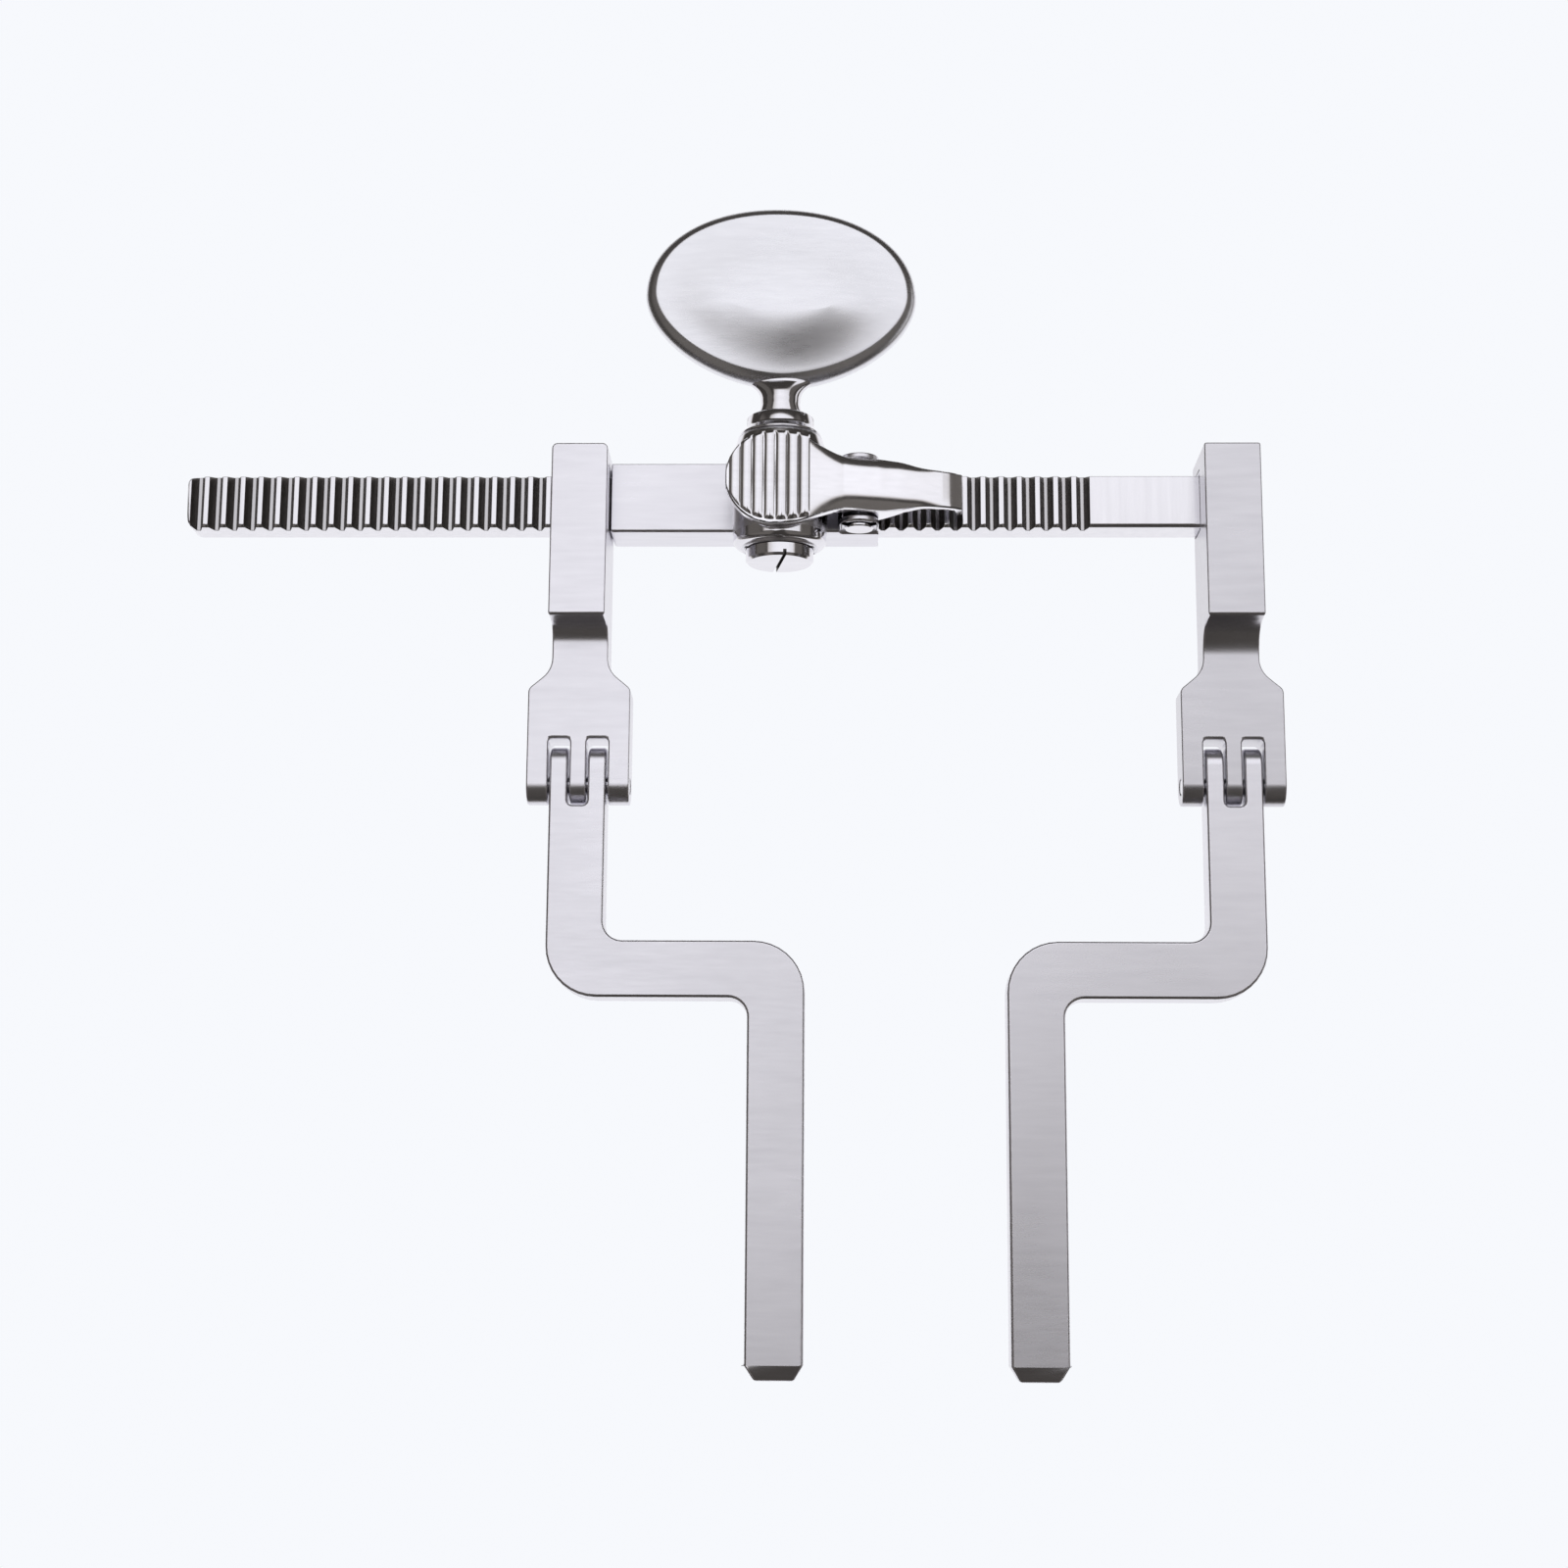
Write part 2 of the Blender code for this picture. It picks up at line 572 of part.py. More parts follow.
def make_lower_plug():
    """Slotted screw plug that closes the barrel and carries the pinion's lower journal."""
    bore = LOWER_JOURNAL_RADIUS + PIN_GAP
    bore_end = BARREL_HALF + SEAT_GAP
    seat = BARREL_HALF + SEAT_GAP / 2
    profile = spigot_profile(bore) + [(PLUG_RADIUS, seat), (PLUG_RADIUS, PLUG_END - EDGE)]
    profile += [(PLUG_RADIUS - EDGE, PLUG_END), (0.0, PLUG_END), (0.0, bore_end), (bore, bore_end)]
    profile.append((bore, HALF_BAR + 2 * SLIDE_GAP))
    mirrored = [(radius, -height) for radius, height in reversed(profile)]
    plug = link("lower_plug", turned(mirrored, pinion_centre(), "Y"), polished_steel())
    reach = 2 * PLUG_RADIUS
    half = SLOT_WIDTH / 2
    slot = box((-half, -PLUG_END - reach, -reach), (half, -PLUG_END + SLOT_DEPTH, reach))
    turn = Matrix.Translation(pinion_centre()) @ Matrix.Rotation(SLOT_TURN, 4, "Y")
    bmesh.ops.transform(slot, matrix=turn, verts=slot.verts)
    combine(plug, slot, "DIFFERENCE")
    smooth(plug)
    return plug


def inside_rack(x, z, shift):
    """True where a point lies in the crossbar's teeth, which are thickened by the backlash and moved by shift."""
    folded = np.abs((x - shift + TOOTH_PITCH / 2) % TOOTH_PITCH - TOOTH_PITCH / 2)
    height = z + PITCH_RADIUS
    half_space = TOOTH_PITCH / 4 + height * math.tan(PRESSURE_ANGLE) - PINION_BACKLASH
    below_crest = height < MODULE + PINION_BACKLASH
    return below_crest & ((folded > half_space) | (height < -DEDENDUM))


def tooth_outline(steps_per_tooth=18):
    """Pinion outline: at each angle, how far out metal can reach while the pinion rolls along the teeth."""
    tip = PITCH_RADIUS + MODULE
    root = PITCH_RADIUS - DEDENDUM - PINION_BACKLASH
    radii = np.linspace(root, tip, 120)
    rolls = np.linspace(-1.2, 1.2, 361)
    reach = []
    for step in range(steps_per_tooth):
        own = (step / steps_per_tooth - 0.5) * 2 * math.pi / PINION_TEETH
        angle = own + rolls[:, None]
        x = radii[None, :] * np.sin(angle)
        z = -radii[None, :] * np.cos(angle)
        hit = inside_rack(x, z, rolls[:, None] * PITCH_RADIUS).any(axis=0)
        reach.append(radii[hit.argmax()] if hit.any() else tip)
    points = []
    for tooth in range(PINION_TEETH):
        for step, radius in enumerate(reach):
            angle = (tooth + step / steps_per_tooth - 0.5) * 2 * math.pi / PINION_TEETH + mesh_phase()
            points.append((PINION_X + radius * math.sin(angle), PINION_Z - radius * math.cos(angle)))
    return points


def mesh_phase():
    """Turn that puts a pinion tooth in the nearest groove of the crossbar."""
    index = round((LAST_GROOVE_X - PINION_X) / TOOTH_PITCH)
    return (groove_x(index) - PINION_X) / PITCH_RADIUS


def make_pinion():
    """Pinion cut in one with its shaft: lower journal, teeth, upper journal and the tenon for the key."""
    teeth = prism(tooth_outline(), "Y", -HALF_BAR, HALF_BAR)
    pinion = link("pinion_shaft", teeth, polished_steel(), origin=pinion_centre())
    shoulder = BUSH_END
    tenon_end = shoulder + WASHER_THICKNESS + TENON_LENGTH
    profile = [(0.0, -BARREL_HALF), (LOWER_JOURNAL_RADIUS, -BARREL_HALF), (LOWER_JOURNAL_RADIUS, 0.0)]
    profile += [(UPPER_JOURNAL_RADIUS, 0.0), (UPPER_JOURNAL_RADIUS, shoulder), (TENON_RADIUS, shoulder)]
    profile += [(TENON_RADIUS, tenon_end), (0.0, tenon_end)]
    combine(pinion, turned(profile, pinion_centre(), "Y", PIN_STEPS), "UNION")
    hole = rod(CROSS_PIN_RADIUS + PIN_GAP / 2, -BAR_WIDTH, BAR_WIDTH, cross_pin_centre(), "X", steps=16)
    combine(pinion, hole, "DIFFERENCE")
    return pinion


def cross_pin_centre():
    return Vector((PINION_X, STEM_FOOT + STEM_NECK_HEIGHT, PINION_Z))


def make_washer():
    low = BUSH_END + SEAT_GAP / 2
    high = low + WASHER_THICKNESS
    inner = TENON_RADIUS + PIN_GAP
    profile = [(inner, low), (WASHER_RADIUS, low), (WASHER_RADIUS, high), (inner, high), (inner, low)]
    washer = link("thrust_washer", turned(profile, pinion_centre(), "Y"), polished_steel())
    smooth(washer)
    return washer


def skin(rings):
    """Closed solid through rings of equal length, with a flat cap at each end."""
    bm = bmesh.new()
    loops = [[bm.verts.new(point) for point in ring] for ring in rings]
    for lower, upper in zip(loops, loops[1:]):
        for i in range(len(lower)):
            j = (i + 1) % len(lower)
            bm.faces.new((lower[i], lower[j], upper[j], upper[i]))
    bm.faces.new(list(reversed(loops[0])))
    bm.faces.new(loops[-1])
    return bm


def key_ring(inset, z, steps=56):
    """One closed ring of the key's oval plate, taken in from its rim; fuller above and pointed towards the stem."""
    half_width = KEY_HALF_WIDTH - inset
    half_height = KEY_HALF_HEIGHT - inset
    points = []
    for step in range(steps):
        angle = 2 * math.pi * step / steps
        power = KEY_UPPER_POWER if math.sin(angle) > 0 else KEY_LOWER_POWER
        across = math.copysign(abs(math.cos(angle)) ** (2 / power), math.cos(angle))
        up = math.copysign(abs(math.sin(angle)) ** (2 / power), math.sin(angle))
        points.append((half_width * across, KEY_CENTRE_Y + half_height * up, z))
    return points


def key_plate():
    """Oval plate: crowned back, side wall that bulges in an arc, crisp front edge and crowned front."""
    half = KEY_THICKNESS / 2
    spread = KEY_HALF_HEIGHT - KEY_RIM_BULGE
    faces = [(share, KEY_CROWN * (1 - (1 - share) ** 2)) for share in (0.85, 0.6, 0.35, 0.15)]
    stations = [(KEY_RIM_BULGE + spread * share, -half - rise) for share, rise in faces]
    radius = (KEY_RIM_BULGE ** 2 + half ** 2) / (2 * KEY_RIM_BULGE)
    lean = math.asin(half / radius)
    rim_steps = 4
    for step in range(-rim_steps, rim_steps + 1):
        angle = lean * step / rim_steps
        stations.append((radius * (1 - math.cos(angle)), radius * math.sin(angle)))
    stations += [(KEY_RIM_BULGE + spread * share, half + rise) for share, rise in reversed(faces)]
    plate = skin([key_ring(inset, z) for inset, z in stations])
    place = Matrix.Translation((PINION_X, 0.0, PINION_Z)) @ Matrix.Rotation(KEY_TURN, 4, "Y")
    bmesh.ops.transform(plate, matrix=place, verts=plate.verts)
    return plate


def stem_mesh():
    """Key's stem: shoulder on the washer, waisted neck and a flare that flattens into the plate."""
    foot = STEM_FOOT
    neck = foot + STEM_NECK_HEIGHT
    plate = KEY_CENTRE_Y - KEY_HALF_HEIGHT
    profile = [(0.0, foot), (STEM_SHOULDER_RADIUS - EDGE, foot), (STEM_SHOULDER_RADIUS, foot + EDGE)]
    for step in range(1, 9):
        share = step / 8
        height = foot + EDGE + (plate - foot - EDGE) * share
        if height < neck:
            swell = (1 - math.cos(math.pi * (neck - height) / (neck - foot))) / 2
            radius = STEM_NECK_RADIUS + (STEM_SHOULDER_RADIUS - STEM_NECK_RADIUS) * swell
        else:
            swell = ((height - neck) / (plate - neck)) ** 3
            radius = STEM_NECK_RADIUS + (STEM_FLARE_RADIUS - STEM_NECK_RADIUS) * swell
        profile.append((radius, height))
    profile += [(STEM_FLARE_RADIUS, plate + STEM_ROOT), (0.0, plate + STEM_ROOT)]
    stem = turned(profile, Vector((0.0, 0.0, 0.0)), "Y", 28)
    limit = KEY_THICKNESS / 2 - EDGE / 10
    for vert in stem.verts:
        radius = math.hypot(vert.co.x, vert.co.z)
        vert.co.z *= min(1.0, limit / max(radius, EDGE))
    place = Matrix.Translation((PINION_X, 0.0, PINION_Z)) @ Matrix.Rotation(KEY_TURN, 4, "Y")
    bmesh.ops.transform(stem, matrix=place, verts=stem.verts)
    return stem


def make_key():
    key = link("thumb_key", key_plate(), satin_steel(), origin=pinion_centre())
    combine(key, stem_mesh(), "UNION")
    socket_end = BUSH_END + WASHER_THICKNESS + TENON_LENGTH + SEAT_GAP
    socket = rod(TENON_RADIUS + PIN_GAP, STEM_FOOT - BAR_WIDTH, socket_end, pinion_centre(), "Y")
    combine(key, socket, "DIFFERENCE")
    hole = rod(CROSS_PIN_RADIUS + PIN_GAP / 2, -BAR_WIDTH, BAR_WIDTH, cross_pin_centre(), "X", steps=16)
    combine(key, hole, "DIFFERENCE")
    smooth(key)
    return key


def make_cross_pin():
    half = STEM_NECK_RADIUS - PIN_GAP
    pin = rod(CROSS_PIN_RADIUS, -half, half, cross_pin_centre(), "X", steps=16)
    made = link("key_cross_pin", pin, polished_steel())
    smooth(made)
    return made


def lifted(x, z):
    """Turns a point of the engaged lever about the pivot by the lift that clears the teeth."""
    dx, dz = x - PIVOT_X, z - PIVOT_Z
    return (
        PIVOT_X + dx * math.cos(PAWL_LIFT) - dz * math.sin(PAWL_LIFT),
        PIVOT_Z + dx * math.sin(PAWL_LIFT) + dz * math.cos(PAWL_LIFT),
    )


def pawl_tip():
    """Lowest outer corner of the pawl's tooth: seated in its groove, then lifted clear of the teeth."""
    return lifted(groove_x(PAWL_GROOVE) + PAWL_TIP_WIDTH / 2, PITCH_LINE - DEDENDUM + PAWL_ROOT_GAP)


def eased(share, before, low, high, after):
    """Smooth curve from low to high that heads off from before and arrives towards after."""
    return low + 0.5 * share * (
        high - before + share * (2 * before - 5 * low + 4 * high - after + share * (3 * (low - high) + after - before))
    )


def lever_section(x):
    """Half width, rim height and crown of the lever at a place along it."""
    if x < PAD_CENTRE_X:
        half = math.sqrt(max(PAD_RADIUS ** 2 - (x - PAD_CENTRE_X) ** 2, SLIDE_GAP ** 2))
        return half, PAD_RIM, LEVER_SECTIONS[0][3] * half / PAD_RADIUS
    share = (x - PAD_CENTRE_X) / (pawl_tip()[0] - PAD_CENTRE_X)
    last = len(LEVER_SECTIONS) - 2
    index = max(i for i in range(last + 1) if LEVER_SECTIONS[i][0] <= share + 1e-9)
    rows = [LEVER_SECTIONS[max(0, min(last + 1, index + step))] for step in (-1, 0, 1, 2)]
    local = (share - rows[1][0]) / (rows[2][0] - rows[1][0])
    half, drop, crown = (eased(local, *(row[column] for row in rows)) for column in (1, 2, 3))
    return half, PAD_RIM - drop, max(crown, 0.0)


def lever_underside(x):
    """Height of the lever's underside: its rim, the round hub with its ramp, and the pawl's tooth."""
    tip_x, tip_z = pawl_tip()
    low = lever_section(x)[1] - LEVER_RIM
    away = x - PIVOT_X
    if -HUB_RADIUS <= away <= HUB_RADIUS / 2:
        low = min(low, PIVOT_Z - math.sqrt(HUB_RADIUS ** 2 - away ** 2))
    elif HUB_RADIUS / 2 < away < HUB_RAMP:
        start = PIVOT_Z - math.sqrt(0.75) * HUB_RADIUS
        end = lever_section(PIVOT_X + HUB_RAMP)[1] - LEVER_RIM
        low = min(low, start + (end - start) * (away - HUB_RADIUS / 2) / (HUB_RAMP - HUB_RADIUS / 2))
    back = tip_x - PAWL_TIP_WIDTH - x
    if back <= 0:
        low = tip_z
    elif back < PAWL_BACK_RUN:
        low = tip_z + (low - tip_z) * back / PAWL_BACK_RUN
    return low


def lever_places():
    """Places along the lever where its sections are taken."""
    tip_x = pawl_tip()[0]
    places = [PAD_CENTRE_X - PAD_RADIUS * math.cos(math.radians(angle)) for angle in range(10, 91, 10)]
    places = [PAD_CENTRE_X - PAD_RADIUS] + places
    body = tip_x - PAWL_TIP_WIDTH - PAWL_BACK_RUN
    hub = [PIVOT_X - HUB_RADIUS - EDGE / 10]
    hub += [PIVOT_X - HUB_RADIUS * math.cos(math.radians(angle)) for angle in range(0, 121, 15)]
    count = 20
    span = [PAD_CENTRE_X + (body - PAD_CENTRE_X) * step / count for step in range(1, count)]
    span = [x for x in span if not hub[0] - EDGE < x < hub[-1] + EDGE]
    return sorted(places + span + hub + [body, tip_x - PAWL_TIP_WIDTH, tip_x])


def lever_body():
    """Lever lofted through its sections: flat rims, a crowned top, the hub and the tooth below."""
    rings = []
    for x in lever_places():
        half, rim, crown = lever_section(x)
        low = lever_underside(x)
        ring = [(x, -half, low)]
        for share in (-1.0, -0.85, -0.65, -0.4, -0.14, 0.14, 0.4, 0.65, 0.85, 1.0):
            ring.append((x, half * share, rim + crown * (1 - share ** 2)))
        ring.append((x, half, low))
        rings.append(ring)
    return skin(rings)


def pad_ribs():
    """Raised ribs across the thumb pad, one solid for each."""
    solids = []
    for index in range(RIB_COUNT):
        x = PAD_CENTRE_X + FIRST_RIB + index * RIB_PITCH
        half, rim, crown = lever_section(x)
        low = rim - LEVER_RIM / 2
        top = rim + crown + RIB_HEIGHT
        foot = RIB_WIDTH / 2
        ridge = RIB_CREST / 2
        section = [(x - foot, low), (x + foot, low), (x + foot, rim), (x + ridge, top)]
        section += [(x - ridge, top), (x - foot, rim)]
        solids.append(prism(section, "Y", -half + RIB_INSET, half - RIB_INSET))
    return solids


def make_lever():
    """Release lever: ribbed thumb pad, hub between the ears and a pawl that drops into the teeth."""
    lever = link("release_lever", lever_body(), polished_steel(), origin=pivot_centre())
    for rib in pad_ribs():
        combine(lever, rib, "UNION")
    pin = rod(PIVOT_RADIUS + PIN_GAP, -BAR_WIDTH, BAR_WIDTH, pivot_centre(), "Y")
    combine(lever, pin, "DIFFERENCE")
    return lever


def make_pivot_pin():
    """Lever pivot: a shank through both ears with a round head on the lower one."""
    seat = HOUSING_HALF + SEAT_GAP / 2
    head = seat + PIVOT_HEAD_THICKNESS
    far = HOUSING_HALF - SLIDE_GAP
    profile = [(0.0, -head), (PIVOT_HEAD_RADIUS - PIN_GAP, -head), (PIVOT_HEAD_RADIUS, -head + PIN_GAP)]
    profile += [(PIVOT_HEAD_RADIUS, -seat), (PIVOT_RADIUS, -seat), (PIVOT_RADIUS, far), (0.0, far)]
    made = link("lever_pivot_pin", turned(profile, pivot_centre(), "Y", 32), polished_steel())
    smooth(made)
    return made


def build_all():
    clear_scene()
    make_rack()
    make_dowel()
    make_fixed_base()
    make_moving_base()
    make_hinge_pin("fixed_hinge_pin", 0.0)
    make_hinge_pin("moving_hinge_pin", MOVING_X)
    make_arm("fixed_blade_arm", 0.0, -1)
    make_arm("moving_blade_arm", MOVING_X, 1)
    make_housing()
    make_upper_bush()
    make_lower_plug()
    make_pinion()
    make_washer()
    make_key()
    make_cross_pin()
    make_lever()
    make_pivot_pin()


build_all()
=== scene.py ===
# Looks of the spinal retractor frame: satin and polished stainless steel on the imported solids,
# seen from above over a plain pale floor. X runs along the toothed bar, +Y to the thumb key.
import math

import bmesh
import bpy
from mathutils import Matrix, Vector


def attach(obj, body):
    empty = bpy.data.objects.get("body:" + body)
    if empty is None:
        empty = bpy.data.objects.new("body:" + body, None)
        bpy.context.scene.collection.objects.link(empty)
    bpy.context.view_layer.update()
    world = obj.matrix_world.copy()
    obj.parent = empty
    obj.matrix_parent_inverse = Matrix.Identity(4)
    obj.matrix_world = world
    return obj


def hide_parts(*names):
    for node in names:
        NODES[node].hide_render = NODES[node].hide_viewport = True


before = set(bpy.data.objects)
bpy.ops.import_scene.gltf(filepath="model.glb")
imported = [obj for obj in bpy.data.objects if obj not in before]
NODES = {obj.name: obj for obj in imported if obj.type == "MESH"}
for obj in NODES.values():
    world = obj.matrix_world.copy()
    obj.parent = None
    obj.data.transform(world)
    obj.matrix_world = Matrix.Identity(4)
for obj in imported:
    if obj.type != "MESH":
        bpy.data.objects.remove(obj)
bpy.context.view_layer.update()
MM = 0.001

# Camera
CAMERA_AT = Vector((-55.93, -111.65, 359.47)) * MM
CAMERA_TURN = (math.radians(-11.213), math.radians(-1.193), math.radians(-0.119))
LENS = 58.70
SENSOR = 36.0
NEAREST_SEEN = 0.01

# Floor, low enough for the blade arms to fold down over it
FLOOR_SIZE = 4.0
FLOOR_DROP = 85.0 * MM
FLOOR_COLOUR = (0.93, 0.945, 0.98, 1.0)
BACKDROP_COLOUR = (0.93, 0.945, 1.0, 1.0)

# Light by direction: how bright each zone is, then where each of its sides fades out and in.
# The window's sides are slopes, X or Y over Z, and those of the other zones are directions.
DARK_LIGHT = 0.045
WINDOW_LIGHT = 1.05
WINDOW_LEFT = (-0.90, -0.70)
WINDOW_RIGHT = (1.45, 1.15)
WINDOW_NEAR = (-0.16, 0.10)
WINDOW_FAR = (1.4, 1.1)
WINDOW_SKEW = 1.3
WINDOW_SKEW_REACH = (-0.12, 0.17)
WINDOW_SKEW_FADE = (0.30, 0.18)
WINDOW_FALL = (0.12, 0.85)
WINDOW_FALL_LEFT = 0.42
WINDOW_FALL_RIGHT = 0.12
LOWEST_SLOPE_HEIGHT = 0.02
WINDOW_FOOT = 0.05
BELOW_LIGHT = 0.95
BELOW_FROM = (-0.45, -0.62)
STRIP_LIGHT = 0.85
STRIP_ACROSS = (0.80, 0.93)
STRIP_LOW = (-0.34, -0.28)
STRIP_HIGH = (-0.10, -0.16)
FRONT_FILL_LIGHT = 0.13
FRONT_FILL_NEAR = (-0.15, -0.40)
FRONT_FILL_ASIDE = (0.12, 0.30)
FRONT_FILL_UP = (0.0, 0.12)
SIDE_FILL_LIGHT = 0.11
SIDE_FILL_ASIDE = (0.50, 0.78)
SIDE_FILL_UP = (0.02, 0.16)
DARK_TINT = (1.10, 1.0, 0.90, 1.0)
LIGHT_TINT = (0.975, 0.975, 1.0, 1.0)

# Steel surface
NOISE_MIDDLE = (0.3, 0.7)
GRAIN_DETAIL = 6.0
GRAIN_TONE = 0.025
GRAIN_GLOSS = 0.015
GRAIN_RELIEF = 0.02 * MM
FINE_GRAIN = 2.3
FINE_DETAIL = 2.0
SMUDGE_SCALE = 38.0
SMUDGE_DETAIL = 3.0
SMUDGE_MIDDLE = (0.35, 0.65)
SMUDGE_GLOSS = (-0.02, 0.03)
EDGE_REACH = 0.35 * MM
EDGE_SAMPLES = 6
EDGE_LEAN = (0.98, 0.80)
EDGE_GLOSS = 0.3

# Shade painted as a dark colour on the milled flanks and groove floors of the toothed bar, which
# are also rougher
GROOVE_SHADE_COLOUR = (0.20, 0.185, 0.17, 1.0)
GROOVE_SHADE_ROUGHNESS = 0.5
SHADE_FLANK_LEAN = (0.6, 0.85)
SHADE_FLANK_STRENGTH = 0.93
SHADE_FLOOR_Z = (5.4 * MM, 5.0 * MM)
SHADE_FLOOR_STRENGTH = 0.42
SHADE_FLOOR_LEAN = 0.7
SHADE_END_X = 149.5 * MM


class Sums:
    """Plain names for the commonest steps of node arithmetic."""

    def plus(self, first, second):
        return self.maths("ADD", first, second)

    def minus(self, first, second):
        return self.maths("SUBTRACT", first, second)

    def times(self, first, second):
        return self.maths("MULTIPLY", first, second)


class Paint(Sums):
    """Short calls for building one node tree of a material or a world."""

    def __init__(self, tree, keep=False):
        self.tree = tree
        if not keep:
            tree.nodes.clear()

    def add(self, kind, **values):
        node = self.tree.nodes.new(kind)
        for key, value in values.items():
            setattr(node, key, value)
        return node

    def feed(self, source, target, entry):
        """Sets an input of a node from a number or a colour, or joins a node or an output to it."""
        if isinstance(source, (int, float, tuple)):
            target.inputs[entry].default_value = source
            return
        if isinstance(source, bpy.types.Node):
            source = source.outputs[0]
        self.tree.links.new(source, target.inputs[entry])

    def noise(self, scale, detail, stretch=(1.0, 1.0, 1.0)):
        """Noise on Object coordinates, which a stretch scales along each axis."""
        fit = self.add("ShaderNodeMapping")
        self.feed(self.add("ShaderNodeTexCoord").outputs["Object"], fit, "Vector")
        self.feed(stretch, fit, "Scale")
        made = self.add("ShaderNodeTexNoise")
        self.feed(fit, made, "Vector")
        self.feed(scale, made, "Scale")
        self.feed(detail, made, "Detail")
        return made.outputs["Fac"]

    def remap(self, source, span, low, high, kind="LINEAR"):
        made = self.add("ShaderNodeMapRange", interpolation_type=kind)
        self.feed(source, made, "Value")
        for entry, value in zip(("From Min", "From Max", "To Min", "To Max"), (*span, low, high)):
            self.feed(value, made, entry)
        return made

    def fade(self, source, span):
        return self.remap(source, span, 0.0, 1.0, "SMOOTHSTEP")

    def maths(self, operation, first, second=0.0):
        made = self.add("ShaderNodeMath", operation=operation)
        self.feed(first, made, 0)
        self.feed(second, made, 1)
        return made


def edge_mask(paint):
    """1 along the edges and 0 on the faces: how far a rounded normal leans from the face's."""
    rounded = paint.add("ShaderNodeBevel", samples=EDGE_SAMPLES)
    paint.feed(EDGE_REACH, rounded, "Radius")
    lean = paint.add("ShaderNodeVectorMath", operation="DOT_PRODUCT")
    paint.feed(rounded, lean, 0)
    paint.feed(paint.add("ShaderNodeNewGeometry").outputs["True Normal"], lean, 1)
    return paint.remap(lean.outputs["Value"], EDGE_LEAN, 0.0, 1.0)


def steel(name, colour, roughness, grain, stretch, depth, smudge, edge_gain):
    """Steel with a directional grain, slow smudges and slightly brighter, smoother edges."""
    made = bpy.data.materials.new(name)
    made.use_nodes = True
    paint = Paint(made.node_tree)
    out = paint.add("ShaderNodeOutputMaterial")
    shader = paint.add("ShaderNodeBsdfPrincipled")
    paint.feed(shader, out, "Surface")
    paint.feed(1.0, shader, "Metallic")

    lines = paint.noise(grain, GRAIN_DETAIL, stretch)
    cloud = paint.noise(SMUDGE_SCALE, SMUDGE_DETAIL)
    fine = paint.noise(grain * FINE_GRAIN, FINE_DETAIL, stretch)
    edge = edge_mask(paint)

    tone = paint.plus(
        paint.remap(lines, NOISE_MIDDLE, -GRAIN_TONE, GRAIN_TONE),
        paint.remap(cloud, NOISE_MIDDLE, -smudge, smudge),
    )
    tone = paint.plus(tone, paint.times(edge, edge_gain))
    light = paint.add("ShaderNodeMixRGB", blend_type="ADD")
    paint.feed(1.0, light, "Fac")
    paint.feed((*colour, 1.0), light, "Color1")
    paint.feed(tone, light, "Color2")
    paint.feed(light, shader, "Base Color")

    rough = paint.plus(
        paint.remap(fine, NOISE_MIDDLE, roughness - GRAIN_GLOSS, roughness + GRAIN_GLOSS),
        paint.remap(cloud, SMUDGE_MIDDLE, *SMUDGE_GLOSS),
    )
    rough = paint.minus(rough, paint.times(edge, roughness * EDGE_GLOSS))
    paint.feed(rough, shader, "Roughness")

    bump = paint.add("ShaderNodeBump")
    paint.feed(depth, bump, "Strength")
    paint.feed(GRAIN_RELIEF, bump, "Distance")
    paint.feed(lines, bump, "Height")
    paint.feed(bump, shader, "Normal")
    return made


def paint_groove_shade(finish):
    """Paints shade as a dark colour on the milled flanks and groove floors, and makes them rougher
    than the ground faces.
    """
    paint = Paint(finish.node_tree, keep=True)
    shader = paint.tree.nodes["Principled BSDF"]
    ground = shader.inputs["Base Color"].links[0].from_socket
    smooth = shader.inputs["Roughness"].links[0].from_socket
    place = paint.add("ShaderNodeSeparateXYZ")
    paint.feed(paint.add("ShaderNodeTexCoord").outputs["Object"], place, "Vector")
    lean = paint.add("ShaderNodeSeparateXYZ")
    paint.feed(paint.add("ShaderNodeNewGeometry").outputs["True Normal"], lean, "Vector")
    steep = paint.maths("ABSOLUTE", lean.outputs["X"])
    flank = paint.remap(steep, SHADE_FLANK_LEAN, 0.0, SHADE_FLANK_STRENGTH)
    inside = paint.maths("LESS_THAN", paint.maths("ABSOLUTE", place.outputs["X"]), SHADE_END_X)
    low = paint.remap(place.outputs["Z"], SHADE_FLOOR_Z, 0.0, SHADE_FLOOR_STRENGTH)
    up = paint.maths("GREATER_THAN", lean.outputs["Z"], SHADE_FLOOR_LEAN)
    # Painted shade: darkens the steep flanks and the low, upward-facing groove floors
    painted_shade = paint.maths("MAXIMUM", paint.times(flank, inside), paint.times(low, up))
    mix = paint.add("ShaderNodeMixRGB")
    paint.feed(painted_shade, mix, "Fac")
    paint.feed(ground, mix, "Color1")
    paint.feed(GROOVE_SHADE_COLOUR, mix, "Color2")
    paint.feed(mix, shader, "Base Color")
    dull = paint.maths("MAXIMUM", smooth, paint.times(painted_shade, GROOVE_SHADE_ROUGHNESS))
    paint.feed(dull, shader, "Roughness")


